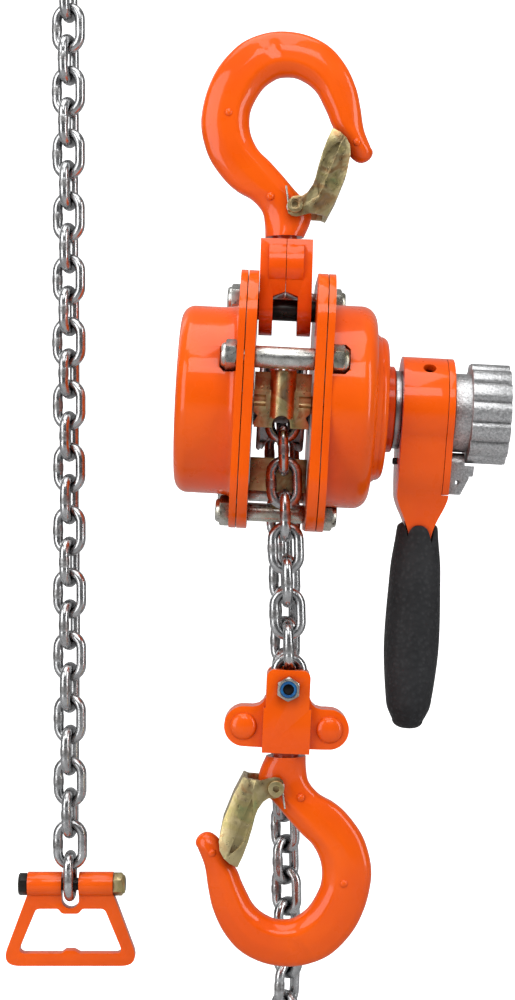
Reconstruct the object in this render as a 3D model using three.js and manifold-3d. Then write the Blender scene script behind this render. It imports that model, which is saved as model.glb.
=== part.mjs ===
// Lever chain hoist (come along winch), 250 kg class, hanging from its top hook.
// Millimetres, +Z up, -Y is the side the load chain leaves from, +X is the handwheel side.
// Origin: on the vertical swivel axis of the top hook, on the flat seat at the crown of its bowl, where it hangs.
// The numbers below are measured from the height of the load sheave axis, SEAT_Z under that seat.
import * as THREE from 'three';
import { mergeVertices } from 'three/addons/utils/BufferGeometryUtils.js';
import Module from 'manifold-3d';

const wasm = await Module();
wasm.setup();

// ---- driving dimensions -------------------------------------------------
const PITCH = 12.0;            // load chain pitch
const WIRE = 3.8;              // chain wire diameter
const LINK_W = 13.3;           // chain link outer width
const SHEAVE_R = 15.68;        // radius through the chain joints on a four pocket sheave
const BODY_TILT = 3.0;         // degrees, hoist body hangs heavy side down about Y
const YOKE_TILT = 1.7;
const BLOCK_TILT = 2.5;
const PIN_Z = 35;              // suspension pin height
const PIN_R = 4;
const BODY_X = 0.6;            // body mid plane at the pin
const GAP = 10.7;              // half gap between the side plates
const PLATE_T = 3.6;
const FLANGE_T = 2.8;
const PLATE_Y = 38, PLATE_Z = 47, PLATE_RC = 20;
const GEAR_COVER_R = 34.9, GEAR_COVER_X = -40.0;
const BRAKE_R1 = 37.8, BRAKE_X1 = 34.5;
const BRAKE_R2 = 26.8, BRAKE_X2 = 39.5;
const BRAKE_R3 = 16.1, BRAKE_X3 = 42.7;
const LEVER_X0 = 45.4, LEVER_X1 = 65.2, LEVER_R = 20;
const WHEEL_R = 18.8, WHEEL_X0 = 72.1, WHEEL_X1 = 86.9, NECK_R = 14.7, NECK_X0 = 66.0;
const MODULE = 1, PINION_T = 10, WHEEL_T = 24;
const GEAR_A = 17;             // centre distance of every gear pair
const CHAIN_TOP_X = -1.23, CHAIN_TOP_Z = 0.05;  // sheave centre in the object frame
const LEAN = 0.026;            // load chain lean, X per Z
const BLOCK_X = 0.95, BLOCK_Y = -SHEAVE_R, BLOCK_Z = -104.1;
const LOWER_HOOK_X = 0.13, LOWER_HOOK_Z = -67.1;
const SEAT_Z = 122.2;          // crown of the top hook bowl over the load sheave axis
const STACK_FROM = 18;         // beyond this far from the mid plane the parts stacked on the axles are closed up
const GEAR_STACK = 0.932, BRAKE_STACK = 0.958;   // by these shares, gear side and brake side
const STRAND_X = -82.4, STRAND_Y = 14, HANDLE_Z = -182.9;

const ROUND = 0.5;             // share of the nominal facet count used on round features
const facets = (n) => Math.max(8, 2 * Math.round((n * ROUND) / 2));

const rad = (d) => (d * Math.PI) / 180;
const V = (x, y, z) => new THREE.Vector3(x, y, z);

// ---- materials ----------------------------------------------------------
const mat = (color, roughness, metalness) => new THREE.MeshStandardMaterial({ color, roughness, metalness });
const PAINT = mat(0xff5a08, 0.25, 0.0);
const ZINC = mat(0xb9bcc0, 0.35, 0.9);
const GOLD = mat(0xb09a5a, 0.35, 0.9);
const BLACK = mat(0x1c1b1b, 0.45, 0.6);
const STEEL = mat(0x8d8f92, 0.4, 0.95);
const CAST = mat(0xa9abae, 0.55, 0.85);
const RUBBER = mat(0x1b1c1e, 0.8, 0.0);
const FRICTION = mat(0x5a4534, 0.9, 0.0);

// ---- solid helpers ------------------------------------------------------
function solid(geo) {
  const g = geo.clone();
  for (const n of Object.keys(g.attributes)) if (n !== 'position') g.deleteAttribute(n);
  const m = mergeVertices(g, 1e-4);
  const p = m.attributes.position, ix = m.index.array, tri = [];
  let vol = 0;
  const a = V(0, 0, 0), b = V(0, 0, 0), c = V(0, 0, 0);
  for (let i = 0; i < ix.length; i += 3) {
    if (ix[i] === ix[i + 1] || ix[i + 1] === ix[i + 2] || ix[i] === ix[i + 2]) continue;
    tri.push(ix[i], ix[i + 1], ix[i + 2]);
    a.fromBufferAttribute(p, ix[i]); b.fromBufferAttribute(p, ix[i + 1]); c.fromBufferAttribute(p, ix[i + 2]);
    vol += a.dot(b.cross(c));
  }
  if (vol < 0) for (let i = 0; i < tri.length; i += 3) { const t = tri[i]; tri[i] = tri[i + 1]; tri[i + 1] = t; }
  return new wasm.Manifold(new wasm.Mesh({ numProp: 3, vertProperties: new Float32Array(p.array), triVerts: new Uint32Array(tri) }));
}
function geometry(man) {
  const m = man.getMesh();
  const g = new THREE.BufferGeometry();
  const n = m.numProp, pos = new Float32Array((m.vertProperties.length / n) * 3);
  for (let i = 0; i < pos.length / 3; i++) for (let k = 0; k < 3; k++) pos[i * 3 + k] = m.vertProperties[i * n + k];
  g.setAttribute('position', new THREE.BufferAttribute(pos, 3));
  g.setIndex(new THREE.BufferAttribute(new Uint32Array(m.triVerts), 1));
  const flat = g.toNonIndexed();
  flat.computeVertexNormals();
  return flat;
}
const add = (...s) => s.reduce((a, b) => a.add(b));
const cut = (a, ...s) => s.reduce((x, b) => x.subtract(b), a);
const shapeOf = (pts, holes = []) => {
  const s = new THREE.Shape(pts.map((p) => new THREE.Vector2(p[0], p[1])));
  for (const h of holes) s.holes.push(new THREE.Path(h.map((p) => new THREE.Vector2(p[0], p[1]))));
  return s;
};
function alongX(pts, x0, x1, holes) {          // pts are (y, z)
  const g = new THREE.ExtrudeGeometry(shapeOf(pts, holes), { depth: x1 - x0, bevelEnabled: false });
  g.applyMatrix4(new THREE.Matrix4().makeBasis(V(0, 1, 0), V(0, 0, 1), V(1, 0, 0)).setPosition(x0, 0, 0));
  return solid(g);
}
function alongY(pts, y0, y1) {                 // pts are (x, z)
  const g = new THREE.ExtrudeGeometry(shapeOf(pts), { depth: y1 - y0, bevelEnabled: false });
  g.applyMatrix4(new THREE.Matrix4().makeBasis(V(1, 0, 0), V(0, 0, 1), V(0, -1, 0)).setPosition(0, y1, 0));
  return solid(g);
}
function box(x0, x1, y0, y1, z0, z1) {
  const g = new THREE.BoxGeometry(x1 - x0, y1 - y0, z1 - z0);
  g.translate((x0 + x1) / 2, (y0 + y1) / 2, (z0 + z1) / 2);
  return solid(g);
}
function cylX(r, x0, x1, y = 0, z = 0, seg = 24, r2 = r) {
  const g = new THREE.CylinderGeometry(r2, r, x1 - x0, facets(seg));
  g.rotateZ(-Math.PI / 2); g.translate((x0 + x1) / 2, y, z);
  return solid(g);
}
function cylY(r, y0, y1, x = 0, z = 0, seg = 20) {
  const g = new THREE.CylinderGeometry(r, r, y1 - y0, facets(seg));
  g.translate(x, (y0 + y1) / 2, z);
  return solid(g);
}
function cylZ(r, z0, z1, x = 0, y = 0, seg = 24, r2 = r) {
  const g = new THREE.CylinderGeometry(r2, r, z1 - z0, facets(seg));
  g.rotateX(Math.PI / 2); g.translate(x, y, (z0 + z1) / 2);
  return solid(g);
}
function latheX(profile, seg = 32) {           // profile of (x, r), starting and ending on the axis or closed
  const g = new THREE.LatheGeometry(profile.map((p) => new THREE.Vector2(p[1], p[0])), facets(seg));
  g.rotateZ(-Math.PI / 2);
  return solid(g);
}
function arc(cx, cy, r, a0, a1, n) {
  const o = [];
  for (let i = 0; i <= n; i++) { const a = rad(a0 + ((a1 - a0) * i) / n); o.push([cx + r * Math.cos(a), cy + r * Math.sin(a)]); }
  return o;
}
const roundRect = (hy, hz, r, n = 4) => [
  ...arc(hy - r, hz - r, r, 0, 90, n), ...arc(-hy + r, hz - r, r, 90, 180, n),
  ...arc(-hy + r, -hz + r, r, 180, 270, n), ...arc(hy - r, -hz + r, r, 270, 360, n)];
function loft(rings) {                          // closed body through rings of equal point count
  const n = rings[0].length, pos = [], ix = [];
  for (const r of rings) for (const p of r) pos.push(p.x, p.y, p.z);
  for (let i = 0; i + 1 < rings.length; i++) for (let j = 0; j < n; j++) {
    const k = (j + 1) % n, a = i * n + j, b = i * n + k, c = a + n, d = b + n;
    ix.push(a, b, d, a, d, c);
  }
  const cap = (i, flip) => {
    const c = rings[i].reduce((s, p) => s.add(p), V(0, 0, 0)).multiplyScalar(1 / n);
    const ci = pos.length / 3; pos.push(c.x, c.y, c.z);
    for (let j = 0; j < n; j++) { const k = (j + 1) % n; if (flip) ix.push(ci, i * n + k, i * n + j); else ix.push(ci, i * n + j, i * n + k); }
  };
  cap(0, true); cap(rings.length - 1, false);
  const g = new THREE.BufferGeometry();
  g.setAttribute('position', new THREE.BufferAttribute(new Float32Array(pos), 3));
  g.setIndex(ix);
  return solid(g);
}
function wire(points, r, sides, closed = false) {
  const curve = new THREE.CatmullRomCurve3(points, closed, 'catmullrom', 0.2);
  const sh = new THREE.Shape();
  for (let i = 0; i < sides; i++) { const a = (2 * Math.PI * i) / sides; if (i) sh.lineTo(r * Math.cos(a), r * Math.sin(a)); else sh.moveTo(r, 0); }
  return solid(new THREE.ExtrudeGeometry(sh, { steps: Math.round(points.length * 1.6), extrudePath: curve, bevelEnabled: false }));
}

// ---- placing ------------------------------------------------------------
const tiltAt = (deg, from, to) => new THREE.Matrix4().makeTranslation(to.x, to.y, to.z)
  .multiply(new THREE.Matrix4().makeRotationY(rad(deg)))
  .multiply(new THREE.Matrix4().makeTranslation(-from.x, -from.y, -from.z));
const T_BODY = tiltAt(BODY_TILT, V(0, 0, PIN_Z), V(BODY_X, 0, PIN_Z));
const T_YOKE = tiltAt(YOKE_TILT, V(0, 0, PIN_Z), V(0, 0, PIN_Z));
const T_BLOCK = tiltAt(BLOCK_TILT, V(0, 0, 0), V(BLOCK_X, BLOCK_Y, BLOCK_Z));
const T_LOWER = new THREE.Matrix4().makeTranslation(LOWER_HOOK_X, BLOCK_Y, LOWER_HOOK_Z).multiply(new THREE.Matrix4().makeRotationY(Math.PI));
const ONE = new THREE.Matrix4();

const stackX = (x) => (x > STACK_FROM ? STACK_FROM + (x - STACK_FROM) * BRAKE_STACK : x < -STACK_FROM ? -STACK_FROM + (x + STACK_FROM) * GEAR_STACK : x);
const root = new THREE.Group();
root.position.set(0, 0, -SEAT_Z);
const groups = new Map();
function put(name, man, material, matrix = ONE) {
  const key = matrix;
  if (!groups.has(key)) {
    const g = new THREE.Group();
    matrix.decompose(g.position, g.quaternion, g.scale);
    groups.set(key, g); root.add(g);
  }
  const shape = geometry(man.simplify(0.01));
  if (matrix === T_BODY) {
    const p = shape.getAttribute('position');
    for (let i = 0; i < p.count; i++) p.setX(i, stackX(p.getX(i)));
    shape.computeVertexNormals();
  }
  const mesh = new THREE.Mesh(shape, material);
  mesh.name = name;
  groups.get(key).add(mesh);
}

// ---- hooks --------------------------------------------------------------
// stations of the forged hook: inner edge x, z and outer edge x, z, half thickness of the body
const HOOK = [
  [7.2, 62.3, -7.3, 62.3, 6.6], [9.4, 67.4, -7.5, 67.4, 5.9], [9.9, 71.5, -8.5, 72.0, 5.7], [6.9, 76.5, -12.3, 76.4, 5.6],
  [3.6, 80.2, -17.5, 79.4, 5.7], [-0.6, 85.2, -22.0, 83.2, 5.9], [-5.5, 90.6, -26.9, 89.6, 6.0], [-10.0, 95.2, -29.5, 95.2, 6.0],
  [-12.8, 101.5, -31.2, 102.6, 6.0], [-13.0, 108.2, -31.0, 109.4, 6.0], [-11.1, 113.4, -28.7, 118.3, 6.0], [-7.8, 118.3, -24.2, 126.9, 6.0],
  [-3.9, 121.2, -16.7, 134.6, 6.0], [-1.2, SEAT_Z, -8.5, 138.3, 6.0], [3.4, SEAT_Z, -0.3, 139.3, 6.0], [6.8, 120.9, 8.7, 137.8, 5.9],
  [9.8, 118.9, 16.9, 133.5, 5.8], [12.3, 116.1, 22.9, 126.5, 5.6], [14.3, 112.3, 26.7, 118.3, 5.4], [16.2, 108.2, 28.4, 110.8, 5.2],
  [17.7, 104.4, 29.7, 102.6, 5.0], [21.3, 98.1, 32.3, 95.8, 4.6], [25.4, 92.6, 32.2, 92.2, 3.6]];
function hookBody() {
  const ring = ([ix, iz, ox, oz, h]) => {
    const pts = [[0, 0.5], [0.26, 1], [0.62, 0.92], [1, 0.55], [1, -0.55], [0.62, -0.92], [0.26, -1], [0, -0.5]];
    return pts.map(([u, v]) => V(ix + (ox - ix) * u, v * h, iz + (oz - iz) * u));
  };
  return loft(HOOK.map(ring));
}
const LATCH_X = 3.62, LATCH_Z = 72.9;          // latch bolt centre
function hookSolid() {
  let h = add(hookBody(), cylZ(4.7, 50.2, 62.6, 0, 0, 20));
  return cut(h, cylY(2.15, -12, 12, LATCH_X, LATCH_Z, 16));
}
const latchOutline = [[1.1, 70.2], [1.5, 75.9], [4.1, 76.9], [7.6, 77.0], [10.2, 80.0], [12.6, 86.6], [14.6, 94.2], [17.4, 101.6],
  [20.0, 97.9], [23.9, 92.4], [22.9, 85.2], [19.0, 75.6], [14.9, 69.6], [9.0, 70.2], [4.6, 69.2]];
const latchInner = [[-2, 66.2], [-2, 79.9], [4.1, 79.9], [7.0, 79.0], [8.7, 81.0], [10.8, 87.6], [12.8, 95.2], [15.9, 101.9],
  [18.9, 97.2], [22.4, 92.0], [21.5, 85.6], [17.9, 76.4], [14.4, 71.2], [13.2, 66.2]];
function latchSolid() {
  const full = alongY(latchOutline, -8.6, 8.6);
  const inner = alongY(latchInner, -7.2, 7.2);
  return cut(full, inner, cylY(2.15, -12, 12, LATCH_X, LATCH_Z, 16));
}
const latchBolt = () => add(cylY(1.95, -8.9, 8.9, LATCH_X, LATCH_Z, 14), cut(cylY(2.8, -10.7, -8.8, LATCH_X, LATCH_Z, 16), cylY(1.3, -11, -9.7, LATCH_X, LATCH_Z, 6)), cylY(2.8, 8.8, 10.2, LATCH_X, LATCH_Z, 16));
function latchSpring() {                        // one torsion coil round the bolt with a leg on the latch and a leg on the hook
  const p = [V(0.4, -6.5, 80.6)];
  for (let i = 0; i <= 6; i++) { const a = rad(150 + 45 * i); p.push(V(LATCH_X + 2.75 * Math.cos(a), -6.5 - 0.03 * i, LATCH_Z + 2.75 * Math.sin(a))); }
  p.push(V(11.5, -6.7, 75.8), V(15.6, -6.7, 82.5));
  return wire(p, 0.36, 4);
}
function hookSet(prefix, matrix) {
  put(`${prefix}_hook`, hookSolid(), PAINT, matrix);
  put(`${prefix}_latch`, latchSolid(), GOLD, matrix);
  put(`${prefix}_latch_bolt`, latchBolt(), GOLD, matrix);
  put(`${prefix}_latch_spring`, latchSpring(), ZINC, matrix);
}
hookSet('top', ONE);
hookSet('bottom', T_LOWER);

// ---- suspension yoke, two mirrored halves round the hook shank -----------
function yokeHalf(s) {
  const outline = [...arc(0, PIN_Z, 9.6, 180, 360, 12), [9.0, 52], [7.6, 60.8], [-7.6, 60.8], [-9.0, 52]];
  let b = alongX(outline, 0.12, 9.7);
  b = add(b, cylX(10.9, 0.12, 6.4, 0, 51.2, 28));
  b = b.intersect(box(-1, 12, -20, 20, 20, 60.8));
  b = cut(b, alongY([[-1, 20], [4.6, 20], [4.6, 39.3], [-1, 41.4]], -20, 20));
  b = cut(b, cylZ(6.0, 50, 70), cylZ(7.7, 45.4, 52.2), cylX(PIN_R + 0.35, -20, 20, 0, PIN_Z, 24));
  if (s < 0) b = b.mirror([1, 0, 0]);
  return b;
}
put('yoke_left_half', yokeHalf(-1), PAINT, T_YOKE);
put('yoke_right_half', yokeHalf(1), PAINT, T_YOKE);
put('top_hook_collar', add(cylZ(4.7, 49.6, 50.0, 0, 0, 20), cylZ(7.0, 46.6, 49.7, 0, 0, 20)), BLACK, ONE);
put('bottom_hook_collar', add(cylZ(4.7, 49.6, 50.0, 0, 0, 20), cylZ(6.6, 47.6, 49.7, 0, 0, 20)), BLACK, T_LOWER);

// ---- hoist frame --------------------------------------------------------
const STAYS = [['front', -33, 14.5], ['lower', 3, -41.0], ['upper', 22, 41.0], ['rear', 31, -33.5]];
const outline = roundRect(PLATE_Y, PLATE_Z, PLATE_RC);
function stayHoles(b, r, reach = GAP + PLATE_T + FLANGE_T + 0.5) { for (const [, y, z] of STAYS) b = cut(b, cylX(r, -reach, reach, y, z, 12)); return b; }
function sidePlate(x0, x1, bore) {
  let b = alongX(outline, x0, x1);
  b = stayHoles(b, 2.6);
  return cut(b, cylX(PIN_R + 0.05, -30, 30, 0, PIN_Z, 20), cylX(bore, -30, 30, 0, 0, 24));
}
put('gear_side_plate', sidePlate(-GAP - PLATE_T, -GAP, 11.6), PAINT, T_BODY);
const pawlPost = (s) => { const b = cylX(1.5, GAP + 1, 29.6, -9, 30.6, 12); return s > 0 ? b : b.rotate([135, 0, 0]); };
put('brake_side_plate', add(sidePlate(GAP, GAP + PLATE_T, 11.6), pawlPost(1), pawlPost(-1)), PAINT, T_BODY);
put('suspension_pin', cylX(PIN_R, -GAP - PLATE_T, GAP + PLATE_T, 0, PIN_Z, 20), BLACK, T_BODY);
const XF = GAP + PLATE_T + 0.05;               // inner face of the cover flanges
// a dent in the cover wall that clears a stay nut
function nutPocket(b, drum, y, z, s) {
  const x0 = s * XF, x1 = s * (XF + FLANGE_T), lo = (a, c) => Math.min(a, c), hi = (a, c) => Math.max(a, c);
  const skin = cylX(8.0, lo(x0, x1 + s * 7.8), hi(x0, x1 + s * 7.8), y, z, 20).intersect(drum);
  return cut(add(b, skin), cylX(6.4, lo(x1, x1 + s * 6.4), hi(x1, x1 + s * 6.4), y, z, 24));
}
function gearCover() {
  const x0 = -XF - FLANGE_T, xe = GEAR_COVER_X, r = GEAR_COVER_R;
  const fil = arc(0, 0, 5.2, 90, 0, 4).map(([a, b]) => [xe + 5.2 - b, r - 5.2 + a]).reverse();
  let b = alongX(outline, -XF - FLANGE_T, -XF);
  const prof = [[x0 + 1, 0], [x0 + 1, r + 0.3], [x0 - 4, r], ...arc(xe + 5.2, r - 5.2, 5.2, 90, 180, 3), [xe, 0]];
  b = add(b, latheX(prof, 40));
  b = cut(b, latheX([[-XF + 1, 0], [-XF + 1, r - 2.3], [xe + 4.4, r - 2.3], [xe + 2.3, r - 4.4], [xe + 2.3, 0]], 40));
  b = add(b, latheX([[xe + 1, 4.9], [xe + 1, 9.2], [xe + 5.4, 9.2], [xe + 5.4, 4.9], [xe + 1, 4.9]], 20));
  b = cut(b, cylX(4.9, xe + 0.9, xe + 6, 0, 0, 20));
  b = nutPocket(b, latheX(prof, 40), -33, 14.5, -1);
  return stayHoles(b, 2.6);
}
put('gear_cover', gearCover(), PAINT, T_BODY);
function brakeCover() {
  let b = alongX(outline, XF, XF + FLANGE_T);
  const prof = [[XF + 1, 0], [XF + 1, BRAKE_R1], ...arc(BRAKE_X1 - 6, BRAKE_R1 - 6, 6, 90, 0, 3), [BRAKE_X1, BRAKE_R2 + 1.6], [BRAKE_X1 + 0.8, BRAKE_R2],
    ...arc(BRAKE_X2 - 2.8, BRAKE_R2 - 2.8, 2.8, 90, 0, 2), [BRAKE_X2, BRAKE_R3], [BRAKE_X3, BRAKE_R3], [BRAKE_X3, 0]];
  b = add(b, latheX(prof, 44));
  b = cut(b, latheX([[XF - 1, 0], [XF - 1, 35.3], [BRAKE_X1 - 4.6, 35.3], [BRAKE_X1 - 2.4, 33], [BRAKE_X1 - 2.4, 24.4], [BRAKE_X2 - 2.4, 24.4], [BRAKE_X2 - 2.4, 0]], 40));
  b = cut(b, cylX(13.4, 30, 60, 0, 0, 28));
  b = nutPocket(b, latheX(prof, 44), -33, 14.5, 1);
  b = nutPocket(b, latheX(prof, 44), 3, -41, 1);
  return stayHoles(b, 2.6);
}
put('brake_cover', brakeCover(), PAINT, T_BODY);

// stays with a spacer between the plates, and a domed nut at each end
function stay(y, z) {
  const a = cylX(3.5, -GAP + 0.05, GAP - 0.05, y, z, 16);
  const t = cylX(2.5, -XF - FLANGE_T - 0.2, XF + FLANGE_T + 5.2, y, z, 12);
  const x0 = -XF - FLANGE_T - 0.05;
  const hex = new THREE.CylinderGeometry(5.75, 5.75, 4.2, 6); hex.rotateZ(Math.PI / 2); hex.translate(x0 - 2.1, y, z);
  return add(a, t, solid(hex), cylX(3.4, x0 - 5.9, x0 - 4.1, y, z, 14, 4.6));
}
function nutPair(y, z, s) {
  const x0 = s * (XF + FLANGE_T + 0.05);
  const hex = new THREE.CylinderGeometry(5.75, 5.75, 4.2, 6); hex.rotateZ(Math.PI / 2); hex.translate(x0 + s * 2.1, y, z);
  const dome = cylX(s > 0 ? 4.6 : 3.4, Math.min(x0 + s * 4.1, x0 + s * 5.9), Math.max(x0 + s * 4.1, x0 + s * 5.9), y, z, 14, s > 0 ? 3.4 : 4.6);
  return cut(add(solid(hex), dome), cylX(2.55, x0 - 10, x0 + 10, y, z, 12));
}
for (const [n, y, z] of STAYS) {
  put(`${n}_stay`, stay(y, z), ZINC, T_BODY);
  put(`${n}_stay_nut`, nutPair(y, z, 1), ZINC, T_BODY);
}

// ---- sheave and gear train ---------------------------------------------
function gearOutline(teeth, thin, phase) {
  const rp = (MODULE * teeth) / 2, ro = rp + MODULE * 0.9, ri = rp - MODULE * 1.3, o = [];
  const pitch = 360 / teeth;
  for (let i = 0; i < teeth; i++) {
    const a = phase + i * pitch;
    const w = (r, half) => [r * Math.cos(rad(a + half)), r * Math.sin(rad(a + half))];
    o.push(w(ri, -pitch * 0.31 + thin * 0.5), w(ro, -pitch * 0.12), w(ro, pitch * 0.12), w(ri, pitch * 0.31 - thin * 0.5));
  }
  return o;
}
function sheave() {
  let b = latheX([[-10.4, 5.8], [-10.4, 8.4], [-8.8, 8.4], [-8.8, 17.4], [-6.2, 18.2], [-2.7, 12.4], [-2.7, 7.2], [2.7, 7.2], [2.7, 12.4], [6.2, 18.2], [8.8, 17.4], [8.8, 8.4], [10.4, 8.4], [10.4, 5.8], [-10.4, 5.8]], 32);
  for (let i = 0; i < 4; i++) {
    const pocket = box(-7.3, 7.3, -10.6, 10.6, 11.8, 20);
    b = cut(b, pocket.rotate([SHEAVE_PHASE + 90 * i, 0, 0]));
  }
  return b;
}

// ---- chain path ---------------------------------------------------------
// joint points are laid along the path one pitch apart, and each link spans two of them
function polyArc(c, r, a0, a1, u, w, n = 48) {
  const o = [];
  for (let i = 0; i <= n; i++) { const a = rad(a0 + ((a1 - a0) * i) / n); o.push(c.clone().addScaledVector(u, r * Math.cos(a)).addScaledVector(w, r * Math.sin(a))); }
  return o;
}
function march(points, start, count) {          // chord marching from a start length
  const out = [];
  let seg = 0, left = start;
  while (left > points[seg].distanceTo(points[seg + 1])) { left -= points[seg].distanceTo(points[seg + 1]); seg++; }
  let here = points[seg].clone().lerp(points[seg + 1], left / points[seg].distanceTo(points[seg + 1]));
  out.push({ p: here.clone(), seg });
  while (out.length < count) {
    let s = seg, a = here;
    while (s + 1 < points.length && points[s + 1].distanceTo(here) < PITCH) s++;
    if (s + 1 >= points.length) break;
    const from = s === seg ? here : points[s], to = points[s + 1];
    let lo = 0, hi = 1;
    for (let i = 0; i < 40; i++) { const m = (lo + hi) / 2; if (from.clone().lerp(to, m).distanceTo(here) < PITCH) lo = m; else hi = m; }
    here = from.clone().lerp(to, lo); seg = s;
    out.push({ p: here.clone(), seg });
  }
  return out;
}
const LINK_BEND = (LINK_W - WIRE) / 2;
const FREE = 1.0;               // extra reach of a link whose neighbour belongs to another piece
const LINK_CROWN = 7.5;         // link centre to the centre line of its crown, a little short so neighbours join
function link(p, q, wdir, sides, steps, freeP = 0, freeQ = 0) {
  const t = q.clone().sub(p).normalize(), c = p.clone().add(q).multiplyScalar(0.5);
  const w = wdir.clone().addScaledVector(t, -wdir.dot(t)).normalize(), n = t.clone().cross(w);
  const rings = [];
  const path = [], drop = LINK_BEND * Math.cos(rad(90 / steps));
  const crown = (sides === 4 ? LINK_CROWN - 0.05 : LINK_CROWN);
  const fat = sides === 4 ? 1.2 : 1.08;
  for (const s of [1, -1]) for (let i = 0; i <= steps; i++) {
    const a = rad(-90 + (180 * i) / steps);
    path.push([s * LINK_BEND * Math.sin(-a), s * (crown + FREE * (s > 0 ? freeQ : freeP) - drop + LINK_BEND * Math.cos(a))]);
  }
  const m = path.length;
  for (let i = 0; i < m; i++) {
    const [x, y] = path[i], [xa, ya] = path[(i + m - 1) % m], [xb, yb] = path[(i + 1) % m];
    const d1 = Math.hypot(x - xa, y - ya), d2 = Math.hypot(xb - x, yb - y);
    let tx = (x - xa) / d1 + (xb - x) / d2, ty = (y - ya) / d1 + (yb - y) / d2;
    const l = Math.hypot(tx, ty); tx /= l; ty /= l;
    const k = 1 / Math.max(0.8, l / 2);
    const ring = [];
    for (let j = 0; j < sides; j++) {
      const b = (2 * Math.PI * (j + 0.5)) / sides, rr = (WIRE / 2) * fat;
      const o = rr * Math.cos(b) * k, h = rr * Math.sin(b);
      ring.push(c.clone().addScaledVector(w, x + ty * o).addScaledVector(t, y - tx * o).addScaledVector(n, h));
    }
    rings.push(ring);
  }
  const pos = [], ix = [];
  for (const r of rings) for (const v of r) pos.push(v.x, v.y, v.z);
  for (let i = 0; i < m; i++) for (let j = 0; j < sides; j++) {
    const k = (j + 1) % sides, i2 = (i + 1) % m, a = i * sides + j, b = i * sides + k, cc = i2 * sides + j, d = i2 * sides + k;
    ix.push(a, b, d, a, d, cc);
  }
  const g = new THREE.BufferGeometry();
  g.setAttribute('position', new THREE.BufferAttribute(new Float32Array(pos), 3));
  g.setIndex(ix);
  return solid(g);
}

const bodyPoint = (x, y, z) => V(x, y, z).applyMatrix4(T_BODY);
const Y = V(0, 1, 0), Z = V(0, 0, 1), X = V(1, 0, 0);
// load strand joints, from the block upwards
const front = bodyPoint(0, -SHEAVE_R, 0), rear = bodyPoint(0, SHEAVE_R, 0);
const loadLow = V(CHAIN_TOP_X - LEAN * -107.6, -SHEAVE_R, -107.6);
const wrap = [];
for (let i = 0; i <= 60; i++) { const a = rad(180 - 3 * i); wrap.push(bodyPoint(0, SHEAVE_R * Math.cos(a), SHEAVE_R * Math.sin(a))); }
const A0 = [loadLow, ...wrap, V(0.5, SHEAVE_R + 1.5, -80), V(0.2, 18, -150)];
// slack chain: down behind the block, a low bend away to the left, up, over, and down to the stop handle
function slackPath(top) {
  const p = [...A0];
  p.push(V(1.5, 18, -215), V(0.5, 18, -236));
  const a = V(0.5, 18, -236), b = V(-118.5, STRAND_Y, -236), n = 40;
  for (let i = 1; i < n; i++) { const u = i / n, k = 1 - Math.pow(Math.abs(2 * u - 1), 3.2); p.push(V(a.x + (b.x - a.x) * u, a.y + (b.y - a.y) * u, a.z - 42 * k)); }
  p.push(b, V(-118.5, STRAND_Y, 100));
  const r = (-82.6 - -118.5) / 2;
  p.push(...polyArc(V(-118.5 + r, STRAND_Y, top), r, 180, 0, X, Z, 48));
  p.push(V(STRAND_X + 0.6, STRAND_Y, HANDLE_Z + 3.2 - 6));
  return p;
}
function jointsFor(top) {
  const path = slackPath(top);
  return { path, joints: march(path, 0, 400) };
}
// the height of the bend over the top is set so the last joint lands on the stop handle
const END = V(STRAND_X + 0.6, STRAND_Y, HANDLE_Z + 3.2 - 6);
let best = null;
for (let top = 166; top < 182; top += 0.02) {
  const r = jointsFor(top), last = r.joints[r.joints.length - 1].p;
  const err = last.distanceTo(END);
  const n = r.joints.length - 1;
  if (n % 2 === 0 && (!best || err < best.err)) best = { ...r, err, top, n };
}
const J = best.joints;
const N = best.n;
// twist of the slack strands about their own line, degrees, by joint
const lerpTable = (t, x) => { for (let i = 1; i < t.length; i++) if (x <= t[i][0]) { const [a, b] = t[i - 1], [c, d] = t[i]; return b + ((d - b) * (x - a)) / (c - a); } return t[t.length - 1][1]; };
const TWIST = [[0, 0], [15, 0], [19, 40], [40, 40], [60, 0], [N - 40, 0], [N - 27, 18], [N - 5, 18], [N - 1, 4], [N, 4]];
const links = [];
for (let i = 0; i < N; i++) {
  const p = J[i].p, q = J[i + 1].p, t = q.clone().sub(p).normalize();
  // the wide direction of the two link orientations
  let s;
  if (i < 16) s = X.clone().applyMatrix4(new THREE.Matrix4().makeRotationY(rad(i >= 7 && i < 12 ? BODY_TILT : 0)));
  else s = Math.abs(t.y) > 0.75 ? X.clone() : new THREE.Vector3().crossVectors(t, Y);
  s.addScaledVector(t, -s.dot(t)).normalize();
  if (s.x < 0 && i < 60 && Math.abs(t.x) < 0.7) s.negate();
  s.applyAxisAngle(t, rad(lerpTable(TWIST, i)));
  const w = i % 2 === 0 ? s : t.clone().cross(s);
  links.push({ i, p, q, w });
}
const midZ = (l) => (l.p.z + l.q.z) / 2;
// links that lie on the sheave
const wrapFirst = links.findIndex((l) => (l.p.z + l.q.z) / 2 > -9);
let wrapLast = wrapFirst; while (midZ(links[wrapLast + 1]) > -9) wrapLast++;
const seat = links.slice(wrapFirst, wrapLast + 1);
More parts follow.
